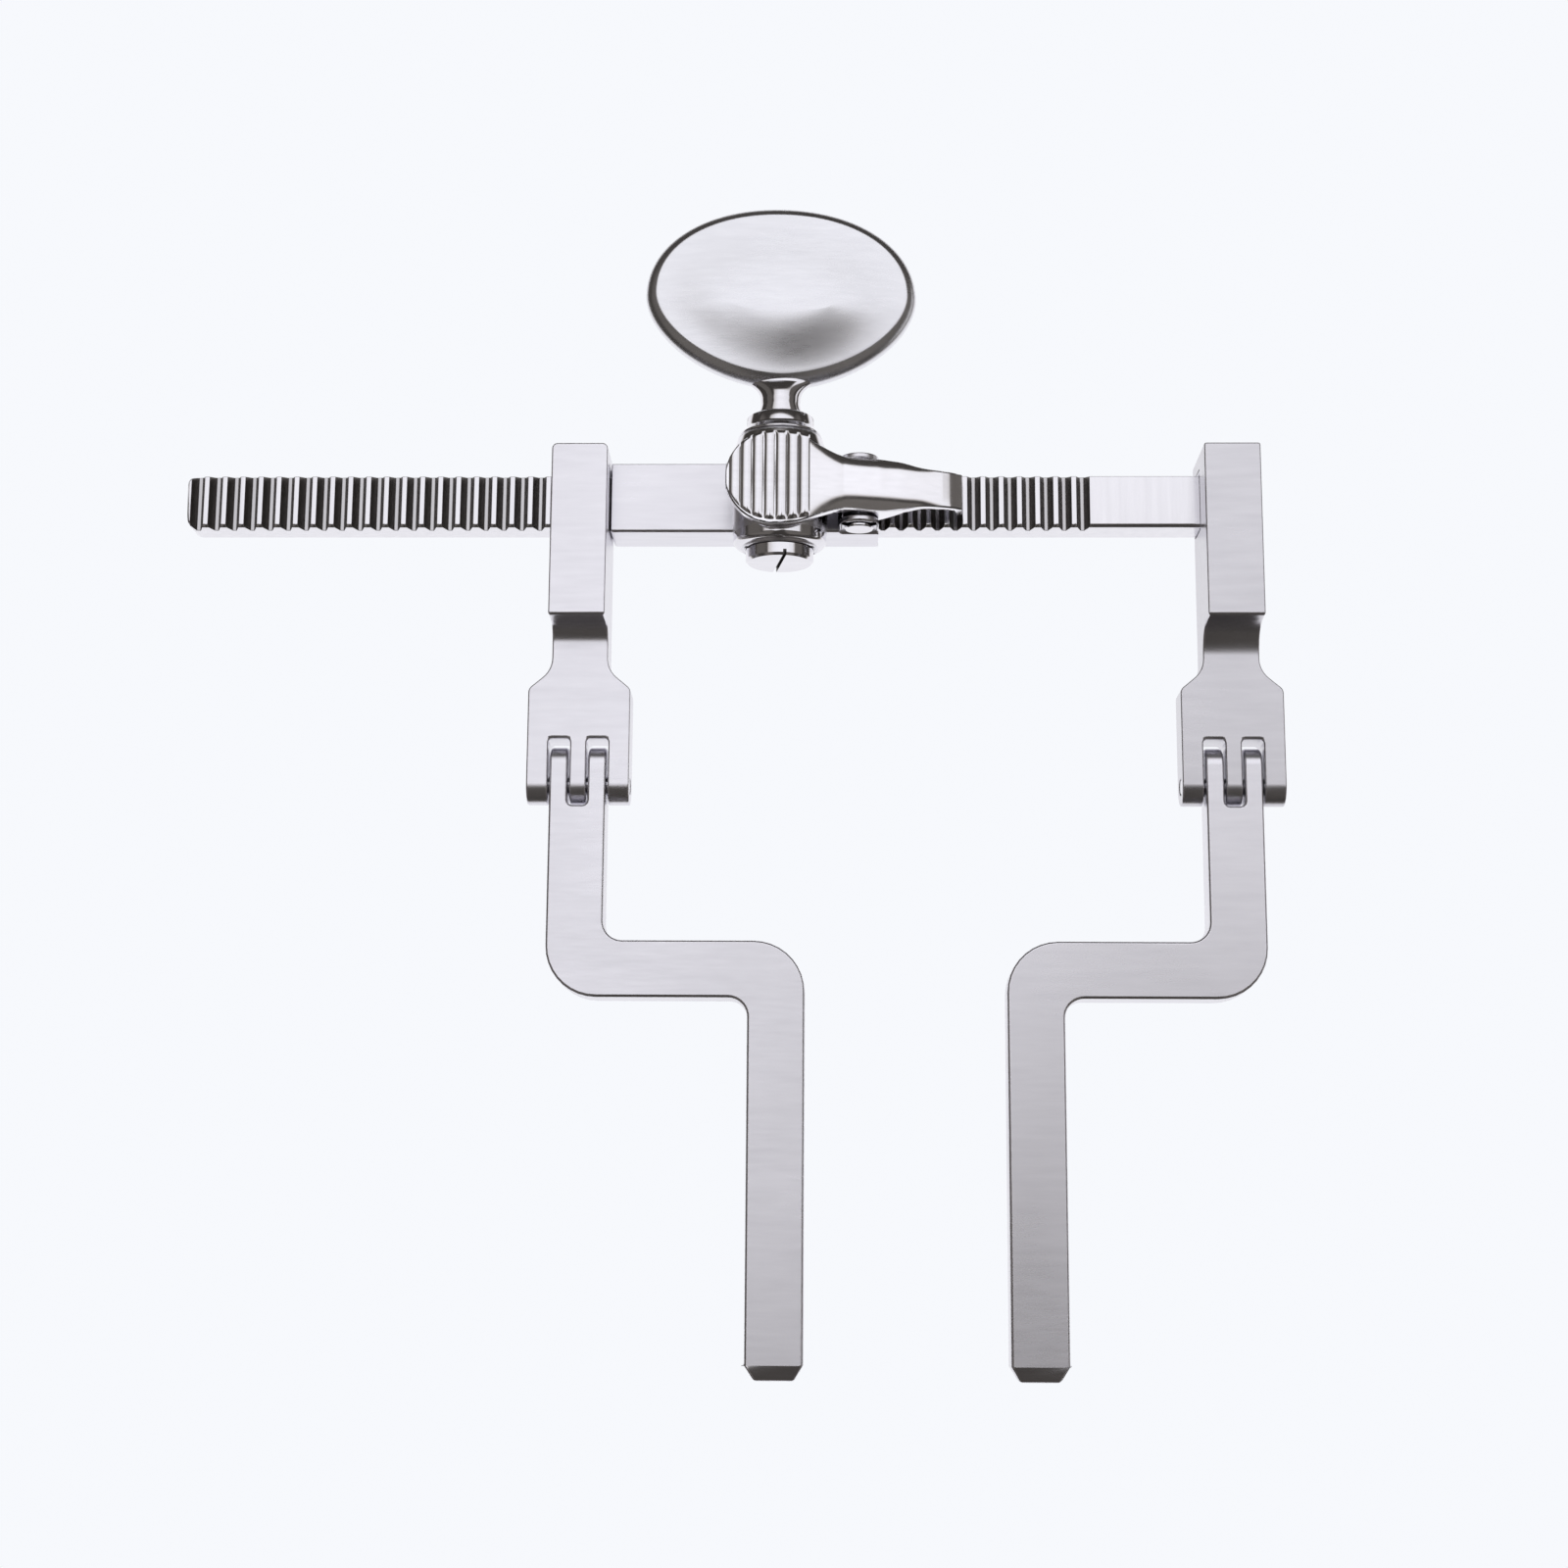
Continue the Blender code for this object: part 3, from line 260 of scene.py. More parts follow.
SATIN_GRAIN = {
    "roughness": 0.29, "grain": 1000.0, "stretch": (0.12, 1.0, 1.0),
    "depth": 0.015, "smudge": 0.010, "edge_gain": 0.03,
}
SATIN = steel("satin_steel_look", (0.82, 0.81, 0.86), **SATIN_GRAIN)
SATIN_BASE = steel("fixed_base_look", (0.69, 0.68, 0.72), **SATIN_GRAIN)
SATIN_RACK = steel(
    "rack_steel_look", (0.82, 0.81, 0.85), roughness=0.20, grain=900.0,
    stretch=(1.0, 0.08, 1.0), depth=0.12, smudge=0.012, edge_gain=0.03,
)
SATIN_KEY = steel(
    "key_steel_look", (0.82, 0.82, 0.86), roughness=0.27, grain=1100.0,
    stretch=(0.15, 1.0, 1.0), depth=0.03, smudge=0.012, edge_gain=0.03,
)
POLISHED = steel(
    "polished_steel_look", (0.80, 0.79, 0.83), roughness=0.09, grain=1200.0,
    stretch=(0.1, 1.0, 0.6), depth=0.03, smudge=0.01, edge_gain=0.05,
)
POLISHED_LEVER = steel(
    "lever_steel_look", (0.92, 0.91, 0.95), roughness=0.15, grain=1400.0,
    stretch=(0.2, 1.0, 0.6), depth=0.02, smudge=0.01, edge_gain=0.03,
)
# Painted shade: a dark material for the walls and floor of the plug's slot
SLOT_SHADE = steel(
    "slot_shade_look", (0.10, 0.09, 0.085), roughness=0.45, grain=900.0,
    stretch=(1.0, 1.0, 1.0), depth=0.1, smudge=0.01, edge_gain=0.05,
)
# Painted shade in the toothed bar's grooves
paint_groove_shade(SATIN_RACK)

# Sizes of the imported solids, repeated where a finished piece follows them
HAIR = 0.01 * MM
BAR_WIDTH = 8.0 * MM
RACK_BACK = 1.0 * MM
RACK_FRONT = 6.4 * MM
RACK_LEFT = -150.0 * MM
RACK_RIGHT = 2.0 * MM
RACK_END_RADIUS = 1.3 * MM
RACK_EDGE_ROUND = 0.55 * MM
RACK_FAR_CHAMFER = 0.42 * MM
RACK_FINE_ROUND = 0.09 * MM
TOOTH_PITCH = 2.61 * MM
GROOVE_COUNT = 50
LAST_GROOVE_X = -20.7 * MM
PRESSURE_ANGLE = math.radians(20.0)
MODULE = TOOTH_PITCH / math.pi
PITCH_LINE = RACK_FRONT - MODULE
DEDENDUM = 1.25 * MODULE
CUTTER_DEPTH = 3.0 * MM
CUTTER_WIDTH = 12.0 * MM
PINION_X = -64.2 * MM
PINION_Z = PITCH_LINE + 4 * MODULE
BORE_RADIUS = 5 * MODULE + 0.25 * MM

BARREL_RADIUS = 6.72 * MM
BARREL_STRAIGHT = 6.0 * MM
BARREL_HALF = 8.3 * MM
BARREL_UPPER_MOUTH = 6.05 * MM
BARREL_LOWER_MOUTH = 5.35 * MM
BARREL_EDGE = 0.3 * MM
BARREL_ROUND_HEIGHT = 0.9 * MM
BARREL_ROUND_STOP = 0.12 * MM
BARREL_ROUND_STEPS = 10
BARREL_FULL_FROM = -4.0 * MM
BARREL_SHOULDER = 0.1 * MM
BARREL_MOUTH_LIP = 0.05 * MM
BARREL_FINE_ROUND = 0.12 * MM

PIVOT_X = -52.9 * MM
PIVOT_Z = 10.2 * MM
HUB_RADIUS = 2.45 * MM
HUB_RAMP = 6.3 * MM
HUB_STEP = 0.04 * MM
HUB_APART = 0.2 * MM
PAD_CENTRE_X = -64.9 * MM
PAD_RADIUS = 6.8 * MM
PAD_RIM = PINION_Z + 6.7 * MM + 0.25 * MM + 1.5 * MM
LEVER_RIM = 1.5 * MM
LEVER_CROWN = 0.72
LEVER_EDGE_ROUND = 0.25 * MM
LEVER_STATIONS = 64
LEVER_RING_STEPS = 12
LEVER_END_HALF = 0.2 * MM
PAWL_LIFT = math.radians(7.5)
PAWL_GROOVES_IN = 7
PAWL_TIP_SHIFT = 0.2 * MM
PAWL_ROOT_GAP = 0.3 * MM
PAWL_TIP_LENGTH = 0.4 * MM
PAWL_BACK_LENGTH = 0.75 * MM
# Place along the lever, half width, drop below the pad, and crown
LEVER_SECTIONS = (
    (0.000, 6.80 * MM, 0.00 * MM, 0.25 * MM),
    (0.132, 6.40 * MM, 0.24 * MM, 0.30 * MM),
    (0.260, 4.85 * MM, 1.50 * MM, 0.80 * MM),
    (0.366, 3.90 * MM, 2.75 * MM, 1.40 * MM),
    (0.562, 3.88 * MM, 4.15 * MM, 1.70 * MM),
    (0.679, 3.50 * MM, 4.55 * MM, 1.10 * MM),
    (0.785, 2.85 * MM, 5.00 * MM, 0.50 * MM),
    (0.890, 2.68 * MM, 5.80 * MM, 0.20 * MM),
    (0.943, 2.65 * MM, 6.40 * MM, 0.10 * MM),
    (1.000, 2.60 * MM, 7.30 * MM, 0.04 * MM),
)
RIB_END_SQUARENESS = 26.0
RIB_BURIED = 0.5 * MM
RIB_SHORTEST = 0.9 * MM

KEY_HALF_WIDTH = 19.6 * MM
KEY_HALF_HEIGHT = 13.7 * MM
KEY_CENTRE_Y = 29.6 * MM
KEY_THICKNESS = 4.6 * MM
KEY_RIM_BULGE = 1.2 * MM
KEY_RIM_STEPS = 9
KEY_BACK_CROWN = 0.9 * MM
KEY_FRONT_CROWN = 1.6 * MM
KEY_PEAK_DROP = 2.5 * MM
KEY_FRONT_RIM = 2.3 * MM
KEY_FRONT_INSET = 1.5 * MM
KEY_CROWN_REACH = 1.12
KEY_CROWN_STEPS = 20
KEY_UPPER_FULLNESS = 2.1
KEY_LOWER_FULLNESS = 1.78
KEY_EDGE_ROUND = 0.16 * MM
KEY_TURN = math.radians(3.0)
STEM_FOOT = 11.9 * MM
STEM_SHOULDER_RADIUS = 3.1 * MM
STEM_SHOULDER_HEIGHT = 1.6 * MM
STEM_EDGE = 0.3 * MM
STEM_NECK_RADIUS = 2.85 * MM
STEM_FLARE = 1.75 * MM
STEM_SINK = 0.7 * MM
STEM_THINNING = 0.95 * MM
STEM_SLACK = 0.03 * MM
STEM_LEAST_OFF_AXIS = 0.1 * MM
STEM_ROOT_DEPTH = 2.4 * MM
STEM_STEPS = 25

SEAT = 8.4 * MM
COLLAR_BORE = 2.35 * MM
COLLAR_SPIGOT = (4.2 * MM, 5.0 * MM)
COLLAR_FOOT = 5.8 * MM
COLLAR_FOOT_EDGE = 0.1 * MM
COLLAR_FOOT_TOP = 0.3 * MM
COLLAR_NECK = 4.85 * MM
COLLAR_SWEEP = (0.9 * MM, 0.4 * MM, 1.0 * MM)
COLLAR_RING = 4.8 * MM
COLLAR_RING_FROM = 1.55 * MM
COLLAR_RING_TO = 2.75 * MM
COLLAR_TOP_EDGE = 0.15 * MM
COLLAR_HEIGHT = 2.9 * MM
COLLAR_STEPS = 10
SLOT_REACH = 4.5 * MM
SLOT_DEPTH = 1.0 * MM
SLOT_WALL_LEAN = 0.3
SLOT_FLOOR_LEAN = -0.9
SLOT_FLOOR_FROM = 0.3 * MM
SLOT_FLOOR_TO = 0.2 * MM


def finished(name, mesh, finish, body, nodes=()):
    """Makes a piece from a mesh that is in place, and ties it to its body and solids."""
    piece = bpy.data.objects.new(name, mesh)
    bpy.context.scene.collection.objects.link(piece)
    mesh.materials.clear()
    mesh.materials.append(finish)
    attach(piece, body)
    if nodes:
        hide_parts(*nodes)
    return piece


def settled(mesh, steps):
    """Mesh with modifiers applied; steps is a list of (kind, settings)."""
    holder = bpy.data.objects.new("holder", mesh)
    bpy.context.scene.collection.objects.link(holder)
    for kind, settings in steps:
        modifier = holder.modifiers.new(kind.lower(), kind)
        for key, value in settings.items():
            if key.startswith("Socket_"):
                modifier[key] = value
            else:
                setattr(modifier, key, value)
    graph = bpy.context.evaluated_depsgraph_get()
    made = bpy.data.meshes.new_from_object(holder.evaluated_get(graph), depsgraph=graph)
    bpy.data.objects.remove(holder)
    return made


def rounding(width, segments=3, angle=35.0):
    return ("BEVEL", {
        "width": width, "segments": segments, "limit_method": "ANGLE",
        "angle_limit": math.radians(angle), "use_clamp_overlap": False, "loop_slide": True,
        "miter_outer": "MITER_ARC",
    })


def weighted_rounding(width):
    return ("BEVEL", {
        "width": width, "segments": 4, "limit_method": "WEIGHT", "use_clamp_overlap": False,
        "miter_outer": "MITER_ARC",
    })


EVEN_NORMALS = ("WEIGHTED_NORMAL", {"mode": "FACE_AREA", "weight": 80, "keep_sharp": True})
MERGE_REACH = 0.002 * MM
FLAT_ANGLE = math.radians(0.6)
CORNER_ANGLE = math.radians(35)
FACES_UP = 0.9
FACES_NEAR = -0.7
FACES_ASIDE = 0.1


def meshed(name, bm):
    bmesh.ops.recalc_face_normals(bm, faces=bm.faces)
    for face in bm.faces:
        face.smooth = True
    mesh = bpy.data.meshes.new(name)
    bm.to_mesh(mesh)
    bm.free()
    return mesh


def joined_up(node):
    """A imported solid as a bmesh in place, with its triangles merged into flat faces."""
    source = NODES[node]
    bm = bmesh.new()
    bm.from_mesh(source.data)
    bmesh.ops.transform(bm, matrix=source.matrix_world, verts=bm.verts)
    bmesh.ops.remove_doubles(bm, verts=bm.verts, dist=MERGE_REACH)
    bmesh.ops.dissolve_limit(bm, angle_limit=FLAT_ANGLE, verts=bm.verts, edges=bm.edges)
    return bm


def dressed(node, body, finish, wide, fine):
    """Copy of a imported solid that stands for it: wide rounding on its lower front edges."""
    bm = joined_up(node)
    weight = bm.edges.layers.float.new("bevel_weight_edge")
    for edge in bm.edges:
        if len(edge.link_faces) != 2 or edge.calc_face_angle() < CORNER_ANGLE:
            continue
        near = any(face.normal.y < FACES_NEAR for face in edge.link_faces)
        front = any(face.normal.z > FACES_UP for face in edge.link_faces)
        corner = all(abs(face.normal.z) < FACES_ASIDE for face in edge.link_faces)
        edge[weight] = 1.0 if near and (front or corner) else fine / wide
    mesh = meshed(node + "_finished", bm)
    mesh.set_sharp_from_angle(angle=math.radians(60))
    mesh = settled(mesh, [weighted_rounding(wide), EVEN_NORMALS])
    return finished(node + "_finished", mesh, finish, body, [node])


def arc(centre, radius, start, end, steps):
    return [
        (centre[0] + radius * math.cos(start + (end - start) * i / steps),
         centre[1] + radius * math.sin(start + (end - start) * i / steps))
        for i in range(steps + 1)
    ]


def turned(profile, steps=96, closed=False):
    """Solid of revolution about the pinion's axis from (radius, height along Y) pairs."""
    bm = bmesh.new()
    rings = []
    for radius, height in profile:
        if radius < 1e-9:
            rings.append([bm.verts.new((PINION_X, height, PINION_Z))])
            continue
        ring = []
        for step in range(steps):
            angle = 2 * math.pi * step / steps
            x = PINION_X + radius * math.sin(angle)
            ring.append(bm.verts.new((x, height, PINION_Z + radius * math.cos(angle))))
        rings.append(ring)
    pairs = list(zip(rings, rings[1:]))
    if closed:
        pairs.append((rings[-1], rings[0]))
    for lower, upper in pairs:
        for i in range(steps):
            j = (i + 1) % steps
            corners = [lower[i % len(lower)], lower[j % len(lower)]]
            corners += [upper[j % len(upper)], upper[i % len(upper)]]
            bm.faces.new(list(dict.fromkeys(corners)))
    return bm


def skin(rings):
    """Closed solid through rings of equal length, with a flat cap at each end."""
    bm = bmesh.new()
    loops = [[bm.verts.new(point) for point in ring] for ring in rings]
    for lower, upper in zip(loops, loops[1:]):
        for i in range(len(lower)):
            j = (i + 1) % len(lower)
            bm.faces.new((lower[i], lower[j], upper[j], upper[i]))
    bm.faces.new(list(reversed(loops[0])))
    bm.faces.new(loops[-1])
    return bm


class Tree(Sums):
    """A Geometry Nodes tree with named inputs."""

    def __init__(self, name):
        self.tree = bpy.data.node_groups.new(name, "GeometryNodeTree")
        for way in ("INPUT", "OUTPUT"):
            self.tree.interface.new_socket(
                "Geometry", in_out=way, socket_type="NodeSocketGeometry"
            )
        self.entry = self.tree.nodes.new("NodeGroupInput")
        self.exit = self.tree.nodes.new("NodeGroupOutput")
        self.names = {}

    def value(self, name, value, kind="NodeSocketFloat"):
        socket = self.tree.interface.new_socket(name, in_out="INPUT", socket_type=kind)
        self.names[socket.identifier] = value
        return self.entry.outputs[name]

    def add(self, kind, links=(), **values):
        node = self.tree.nodes.new(kind)
        for key, value in values.items():
            setattr(node, key, value)
        for entry, source in dict(links).items():
            if isinstance(source, (int, float, bool, tuple)):
                node.inputs[entry].default_value = source
            else:
                self.tree.links.new(source, node.inputs[entry])
        return node

    def maths(self, operation, first, second=0.0):
        return self.add("ShaderNodeMath", {0: first, 1: second}, operation=operation).outputs[0]

    def vector(self, x=0.0, y=0.0, z=0.0):
        return self.add("ShaderNodeCombineXYZ", {0: x, 1: y, 2: z}).outputs[0]

    def where(self):
        """X, Y and Z of each point."""
        place = self.add("GeometryNodeInputPosition").outputs[0]
        return self.add("ShaderNodeSeparateXYZ", {0: place}).outputs

    def moved(self, geometry, position):
        links = {"Geometry": geometry, "Position": position}
        return self.add("GeometryNodeSetPosition", links).outputs[0]

    def row(self, piece, count, first, step):
        """Copies of a piece along X, as one mesh."""
        line = self.add("GeometryNodeMeshLine", {
            "Count": count, "Start Location": self.vector(first), "Offset": self.vector(step),
        }, mode="OFFSET")
        links = {"Points": line.outputs[0], "Instance": piece}
        copies = self.add("GeometryNodeInstanceOnPoints", links).outputs[0]
        return self.add("GeometryNodeRealizeInstances", {"Geometry": copies}).outputs[0]

    def finish(self, geometry, material):
        whole = self.add("GeometryNodeRealizeInstances", {"Geometry": geometry}).outputs[0]
        links = {"Geometry": whole, "Material": material}
        paint = self.add("GeometryNodeSetMaterial", links)
        self.tree.links.new(paint.outputs[0], self.exit.inputs[0])
        return ("NODES", {"node_group": self.tree, **self.names})


def groove_tree():
    """Cuts evenly spaced tapered grooves across a bar."""
    made = Tree("rack_grooves")
    slope = math.tan(PRESSURE_ANGLE)
    count = made.value("Groove count", GROOVE_COUNT, "NodeSocketInt")
    pitch = made.value("Pitch", TOOTH_PITCH)
    first = made.value("First groove X", LAST_GROOVE_X)
    floor = made.value("Floor width", 2 * (TOOTH_PITCH / 4 - DEDENDUM * slope))
    taper = made.value("Flank slope", 2 * slope)
    root = made.value("Root height", PITCH_LINE - DEDENDUM)
    depth = made.value("Cutter depth", CUTTER_DEPTH)
    width = made.value("Cutter width", CUTTER_WIDTH)
    material = made.value("Material", SATIN_RACK, "NodeSocketMaterial")
    block = made.add("GeometryNodeMeshCube", {"Size": made.vector(1.0, width, depth)}).outputs[0]
    x, y, z = made.where()
    rise = made.plus(z, made.times(depth, 0.5))
    spread = made.plus(floor, made.times(rise, taper))
    cutter = made.moved(block, made.vector(made.times(x, spread), y, made.plus(rise, root)))
    tools = made.row(cutter, count, first, made.times(pitch, -1.0))
    cut = made.add("GeometryNodeMeshBoolean", operation="DIFFERENCE", solver="EXACT")
    made.tree.links.new(made.entry.outputs["Geometry"], cut.inputs["Mesh 1"])
    made.tree.links.new(tools, cut.inputs["Mesh 2"])
    return made.finish(cut.outputs["Mesh"], material)


def make_rack():
    """Toothed bar: a prism with a rounded free end, cut by the groove tree."""
    half = BAR_WIDTH / 2
    outline = [(RACK_RIGHT, -half), (RACK_RIGHT, half)]
    corner = (RACK_LEFT + RACK_END_RADIUS, half - RACK_END_RADIUS)
    outline += arc(corner, RACK_END_RADIUS, math.pi / 2, math.pi, 10)
    corner = (corner[0], -corner[1])
    outline += arc(corner, RACK_END_RADIUS, math.pi, 3 * math.pi / 2, 10)
    lean = (half - RACK_FAR_CHAMFER) / half
    rings = [[(x, y, z) for x, y in outline] for z in (RACK_BACK, PITCH_LINE - DEDENDUM)]
    rings.append([(x, y * lean if y > 0 else y, RACK_FRONT) for x, y in outline])
    bm = skin(rings)
    weight = bm.edges.layers.float.new("bevel_weight_edge")
    for edge in bm.edges:
        along_front = all(vert.co.z > RACK_FRONT - HAIR for vert in edge.verts)
        at_base = all(vert.co.x > RACK_RIGHT - HAIR for vert in edge.verts)
        near = all(vert.co.y < 0 for vert in edge.verts)
        edge[weight] = 1.0 if along_front and near and not at_base else 0.0
    mesh = meshed("rack_bar_finished", bm)
    mesh = settled(mesh, [
        weighted_rounding(RACK_EDGE_ROUND), groove_tree(), rounding(RACK_FINE_ROUND, 2),
        EVEN_NORMALS,
    ])
    return finished("rack_bar_finished", mesh, SATIN_RACK, "rack", ["rack_bar"])


def lifted(x, z):
    """Turns a point of the engaged lever about the pivot by the lift that clears the teeth."""
    dx, dz = x - PIVOT_X, z - PIVOT_Z
    return (
        PIVOT_X + dx * math.cos(PAWL_LIFT) - dz * math.sin(PAWL_LIFT),
        PIVOT_Z + dx * math.sin(PAWL_LIFT) + dz * math.cos(PAWL_LIFT),
    )


TIP_X, TIP_Z = lifted(
    LAST_GROOVE_X - PAWL_GROOVES_IN * TOOTH_PITCH + PAWL_TIP_SHIFT,
    PITCH_LINE - DEDENDUM + PAWL_ROOT_GAP,
)


def eased(share, before, low, high, after):
    """Smooth curve from low to high that heads off from before and arrives towards after."""
    bend = 2 * before - 5 * low + 4 * high - after
    twist = 3 * (low - high) + after - before
    return low + 0.5 * share * (high - before + share * (bend + share * twist))


def lever_section(x):
    """Half width, rim height and crown of the lever at a place along it."""
    if x < PAD_CENTRE_X:
        half = math.sqrt(max(PAD_RADIUS ** 2 - (x - PAD_CENTRE_X) ** 2, LEVER_END_HALF ** 2))
        return half, PAD_RIM, LEVER_SECTIONS[0][3] * half / PAD_RADIUS
    share = min(1.0, (x - PAD_CENTRE_X) / (TIP_X - PAD_CENTRE_X))
    last = len(LEVER_SECTIONS) - 2
    index = max(i for i in range(last + 1) if LEVER_SECTIONS[i][0] <= share + 1e-9)
    rows = [LEVER_SECTIONS[max(0, min(last + 1, index + step))] for step in (-1, 0, 1, 2)]
    local = (share - rows[1][0]) / (rows[2][0] - rows[1][0])
    half, drop, crown = (eased(local, *(row[column] for row in rows)) for column in (1, 2, 3))
    return half, PAD_RIM - drop, max(crown, 0.0)


def lever_underside(x):
    """Height of the lever's underside: its rim, the round hub with its ramp, and the tooth."""
    low = lever_section(x)[1] - LEVER_RIM
    away = x - PIVOT_X
    ramp_from = HUB_RADIUS / 2
    if -HUB_RADIUS <= away <= ramp_from:
        low = min(low, PIVOT_Z - math.sqrt(HUB_RADIUS ** 2 - away ** 2))
    elif ramp_from < away < HUB_RAMP:
        start = PIVOT_Z - math.sqrt(HUB_RADIUS ** 2 - ramp_from ** 2)
        end = lever_section(PIVOT_X + HUB_RAMP)[1] - LEVER_RIM
        low = min(low, start + (end - start) * (away - ramp_from) / (HUB_RAMP - ramp_from))
    back = TIP_X - PAWL_TIP_LENGTH - x
    if back <= 0:
        low = TIP_Z
    elif back < PAWL_BACK_LENGTH:
        low = TIP_Z + (low - TIP_Z) * back / PAWL_BACK_LENGTH
    return low


def make_lever():
    """Polished lever lofted through its sections, with a rounded rim all the way round."""
    def round_places(centre, radius, angles):
        return [centre - radius * math.cos(math.radians(angle)) for angle in angles]

    pad = [PAD_CENTRE_X - PAD_RADIUS] + round_places(PAD_CENTRE_X, PAD_RADIUS, range(8, 91, 4))
    body = TIP_X - PAWL_TIP_LENGTH - PAWL_BACK_LENGTH
    hub = [PIVOT_X - HUB_RADIUS - HUB_STEP]
    hub += round_places(PIVOT_X, HUB_RADIUS, range(0, 121, 8))
    step = (body - PAD_CENTRE_X) / LEVER_STATIONS
    span = [PAD_CENTRE_X + step * index for index in range(1, LEVER_STATIONS)]
    span = [x for x in span if not hub[0] - HUB_APART < x < hub[-1] + HUB_APART]
    rings = []
    for x in sorted(pad + span + hub + [body, TIP_X - PAWL_TIP_LENGTH, TIP_X]):
        half, rim, crown = lever_section(x)
        low = lever_underside(x)
        ring = [(x, -half, low)]
        for step in range(-LEVER_RING_STEPS, LEVER_RING_STEPS + 1):
            share = math.sin(math.pi / 2 * step / LEVER_RING_STEPS)
            ring.append((x, half * share, rim + LEVER_CROWN * crown * (1 - share ** 4)))
        ring.append((x, half, low))
        rings.append(ring)
    mesh = meshed("release_lever_finished", skin(rings))
    mesh = settled(mesh, [rounding(LEVER_EDGE_ROUND, 4, 32.0), EVEN_NORMALS])
    return finished(
        "release_lever_finished", mesh, POLISHED_LEVER, "lever",
        ["release_lever"],
    )


def rib_tree():
    """Raised ribs across a round pad, as long as the pad is wide and bowed over its crown."""
    made = Tree("pad_ribs")
    count = made.value("Rib count", 7, "NodeSocketInt")
    pitch = made.value("Pitch", 1.62 * MM)
    first = made.value("First rib from the pad's centre", -5.46 * MM)
    centre = made.value("Pad centre X", PAD_CENTRE_X)
    radius = made.value("Pad radius", PAD_RADIUS)
    inset = made.value("Gap to the near rim", 0.50 * MM)
    taper = made.value("Narrowing towards the waist", 0.4)
    half = made.value("Half width of a rib", 0.80 * MM)
    height = made.value("Rib height", 0.26 * MM)
    base = made.value("Pad height", PAD_RIM)
    crown = made.value("Pad crown", 0.16 * MM)
    material = made.value("Material", POLISHED_LEVER, "NodeSocketMaterial")
    block = made.add("GeometryNodeMeshCube", {
        "Size": (2.0, 2.0, 1.0), "Vertices X": 17, "Vertices Y": 41, "Vertices Z": 2,
    }).outputs[0]

    x, y, z = made.where()
    side = made.minus(1.0, made.maths("POWER", made.maths("ABSOLUTE", x), 2.0))
    ends = made.minus(1.0, made.maths("POWER", made.maths("ABSOLUTE", y), RIB_END_SQUARENESS))
    is_top = made.maths("GREATER_THAN", z, 0.0)
    raised = made.times(is_top, made.times(made.times(side, ends), height))
    sunk = made.times(made.minus(1.0, is_top), -RIB_BURIED)
    rib = made.moved(block, made.vector(made.times(x, half), y, made.plus(raised, sunk)))
    ribs = made.row(rib, count, first, pitch)

    x, y, z = made.where()
    right = made.minus(1.0, made.times(made.maths("GREATER_THAN", x, 0.0), taper))
    narrowed = made.times(x, right)
    over = made.minus(made.times(radius, radius), made.times(narrowed, narrowed))
    reach = made.maths("SQRT", made.maths("MAXIMUM", over, RIB_SHORTEST ** 2))
    gap = made.times(inset, 0.5)
    along = made.plus(made.times(y, made.minus(reach, gap)), gap)
    off = made.maths("DIVIDE", along, radius)
    bow = made.times(made.minus(1.0, made.times(off, off)), crown)
    spot = made.vector(made.plus(x, centre), along, made.plus(z, made.plus(base, bow)))
    return made.finish(made.moved(ribs, spot), material)


def make_ribs():
    mesh = settled(bpy.data.meshes.new("pad_ribs"), [rib_tree()])
    mesh.shade_smooth()
    mesh.set_sharp_from_angle(angle=math.radians(50))
    return finished("pad_ribs", mesh, POLISHED, "lever")


def key_ring(inset, z, drop=0.0, steps=224):
    """One ring of the key's oval plate, fuller above and pointed towards the stem."""
    points = []
    for step in range(steps):
        angle = 2 * math.pi * step / steps
        across, up = math.cos(angle), math.sin(angle)
        power = 2 / (KEY_UPPER_FULLNESS if up > 0 else KEY_LOWER_FULLNESS)
        across = math.copysign(abs(across) ** power, across)
        up = math.copysign(abs(up) ** power, up)
        x = (KEY_HALF_WIDTH - inset) * across
        points.append((x, KEY_CENTRE_Y - drop + (KEY_HALF_HEIGHT - inset) * up, z))
    return points


def in_key_place(bm):
    place = Matrix.Translation((PINION_X, 0.0, PINION_Z)) @ Matrix.Rotation(KEY_TURN, 4, "Y")
    bmesh.ops.transform(bm, matrix=place, verts=bm.verts)
    return bm


